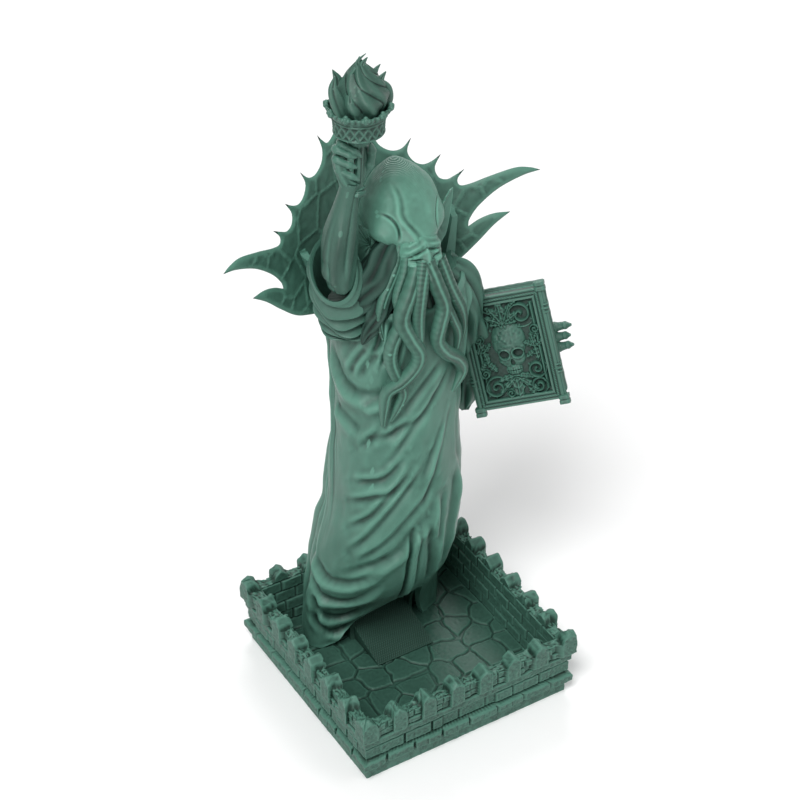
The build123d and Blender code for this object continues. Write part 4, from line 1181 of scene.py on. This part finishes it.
def edged_block(half_x, half_y, z_low, z_high, relief, corner=0.6, rows=40):
    """A rounded rectangular block: its outline carried from z_low to z_high, drawn in at the two
    faces, with relief(z, run) added outwards on the edges."""
    a = circle(300)
    direction = np.stack([np.cos(a), np.sin(a)], -1)
    scale = 1 / np.maximum(np.abs(direction[:, 0]) / half_x, np.abs(direction[:, 1]) / half_y)
    half = np.array([half_x, half_y])
    outline = np.clip(direction * scale[:, None], -half, half)
    t = np.linspace(0, 1, rows)[:, None]
    soft = corner * (np.clip(1 - t / 0.12, 0, 1)**2 + np.clip(1 - (1 - t) / 0.12, 0, 1)**2)
    push = relief(t, a[None, :]) - soft
    outwards = np.sign(outline) * (np.abs(outline) >= half - 1e-6)
    p = outline + outwards * push[..., None]
    return xyz(p[..., 0], p[..., 1], z_low + (z_high - z_low) * t)


pages = edged_block(half_w - 1.1, half_h - 1.1, -cover_t - page_t + 0.02, -cover_t - 0.02,
                    lambda t, a: 0.2 * np.sin(t * 2 * np.pi * 9) + 0.05 * np.sin(a * 60 + t * 9), rows=110)
page_plastic = print_plastic("page_plastic", (0.075, 0.196, 0.148), (0.018, 0.053, 0.038), 0.46)
capped_tube("page_block", on_book(pages), page_plastic, "book_pages", crease=60)
back_low = -2 * cover_t - page_t
board = edged_block(half_w, half_h, back_low, back_low + cover_t - 0.02,
                    lambda t, a: 0.05 * np.sin(a * 40), corner=0.4)
capped_tube("book_back_board", on_book(board), book_plastic, "book_cover_back", crease=60)

# the posts down the long edges: turned rods with two groups of collars, and a knob at each end
for name, side in (("left", -1), ("right", 1)):
    run = np.linspace(-half_h - 1.0, half_h + 1.0, 300)[:, None]
    a = circle(40)
    collars = sum(height * ridge(run - at - shift, width) for at in (-0.45 * half_h, 0.62 * half_h)
                  for height, shift, width in ((0.55, 0, 0.35), (0.4, 1.3, 0.3), (0.4, -1.3, 0.3)))
    flutes = 0.05 * np.cos(8 * a) * (collars < 0.1)
    girth = (1.05 + collars + flutes) * np.clip((half_h + 1.05 - np.abs(run)) / 0.5, 0.15, 1)
    rod = xyz(side * half_w + girth * np.cos(a), run, -0.4 + girth * np.sin(a))
    capped_tube(f"book_post_{name}", on_book(rod), book_plastic, f"book_column_{name}", crease=60)
    for end, top in ((-1, "foot"), (1, "head")):
        a, run = circle(32), np.linspace(-1, 1, 26)[:, None]
        square = 1.75 / (np.abs(np.cos(a))**6 + np.abs(np.sin(a))**6)**(1 / 6)
        square = square * np.clip((1 - np.abs(run)) / 0.16, 0.2, 1)**0.5 * (1 - 0.12 * ridge(run, 0.15))
        knob = xyz(side * half_w + square * np.cos(a), end * (half_h + 0.3) + 1.7 * run,
                   -0.3 + square * np.sin(a))
        capped_tube(f"book_{top}_{name}", on_book(knob), book_plastic, crease=50)

# ---------------------------------------------------------------- book arm
# The lowered arm: a loose sleeve from the shoulder to behind the book, with its end hanging in
# folds below, and a thin hand that holds the back board with three fingertips round its edge.


def gathers(t, a):
    """Sleeve section: folds that wind round it and deepen towards the elbow."""
    return (1 + (0.10 + 0.06 * t) * np.sin(5 * a + 9 * t) + 0.07 * np.sin(9 * a - 14 * t)
            + 0.04 * np.sin(15 * a + 5 * t) + 0.03 * np.sin(31 * t))


def behind_book(points):
    """(right, up, out, radius) points with out measured from the back board, set on the book."""
    p = np.array(points) + (0, 0, back_low, 0)
    return np.concatenate([on_book(p[:, :3]), p[:, 3:]], 1)


sleeve = limb([(16.0, 6.5, 160.0, 6.5), (20.0, 5.0, 153, 8.6), (23.6, 7.0, 143, 8.4), (27.0, 9.6, 132, 8.0),
               (29.2, 11.6, 122, 7.6), (28.6, 9.8, 112, 6.2), (27.6, 8.0, 103.5, 4.2),
               (27.2, 7.0, 99.0, 1.6)], 230, 150, shape=gathers)
capped_tube("lowered_sleeve", sleeve, arm_plastic, "book_sleeve")
wrist = behind_book([(0.0, -4.0, -4.2, 4.0), (4.0, -2.0, -3.4, 3.0)])
lower_arm = limb([(28.6, 12.6, 121, 6.0), (30.4, 10.6, 122, 5.6), *wrist], rows=90, cols=80,
                 facing=(0, 0, 1), shape=gathers)
capped_tube("lower_arm", lower_arm, arm_plastic)
palm = limb(behind_book([(1.0, -3.4, -2.6, 2.6), (6.0, -1.0, -2.4, 3.0), (10.5, 0.8, -2.0, 2.6),
                         (13.4, 1.2, -1.2, 1.4)]), 60, 60, facing=book_front,
            shape=lambda t, a: 0.8 + 0.45 * np.abs(np.sin(a)))
capped_tube("book_palm", palm, arm_plastic, "book_hand")
for number, (y0, reach) in enumerate(((1.9, 5.6), (-1.5, 4.6), (-4.9, 5.0))):
    points = behind_book([(9.0, y0 * 0.75, -1.6, 1.5), (half_w - 0.5, y0, -1.3, 1.5),
                          (half_w + 0.6 * reach, y0 + 0.2, -0.9, 1.2), (half_w + reach, y0 + 0.4, 0.2, 0.5)])
    finger = limb(points, 60, 30, facing=book_front, shape=knuckled)
    capped_tube(f"book_fingertip_{number + 1}", finger, arm_plastic, f"book_finger_{number + 1}")

# ---------------------------------------------------------------- size of the CAD parts and of the visible scene
size = {"cad": [list(c) for c in cad_box], "visual": [list(c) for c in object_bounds()]}
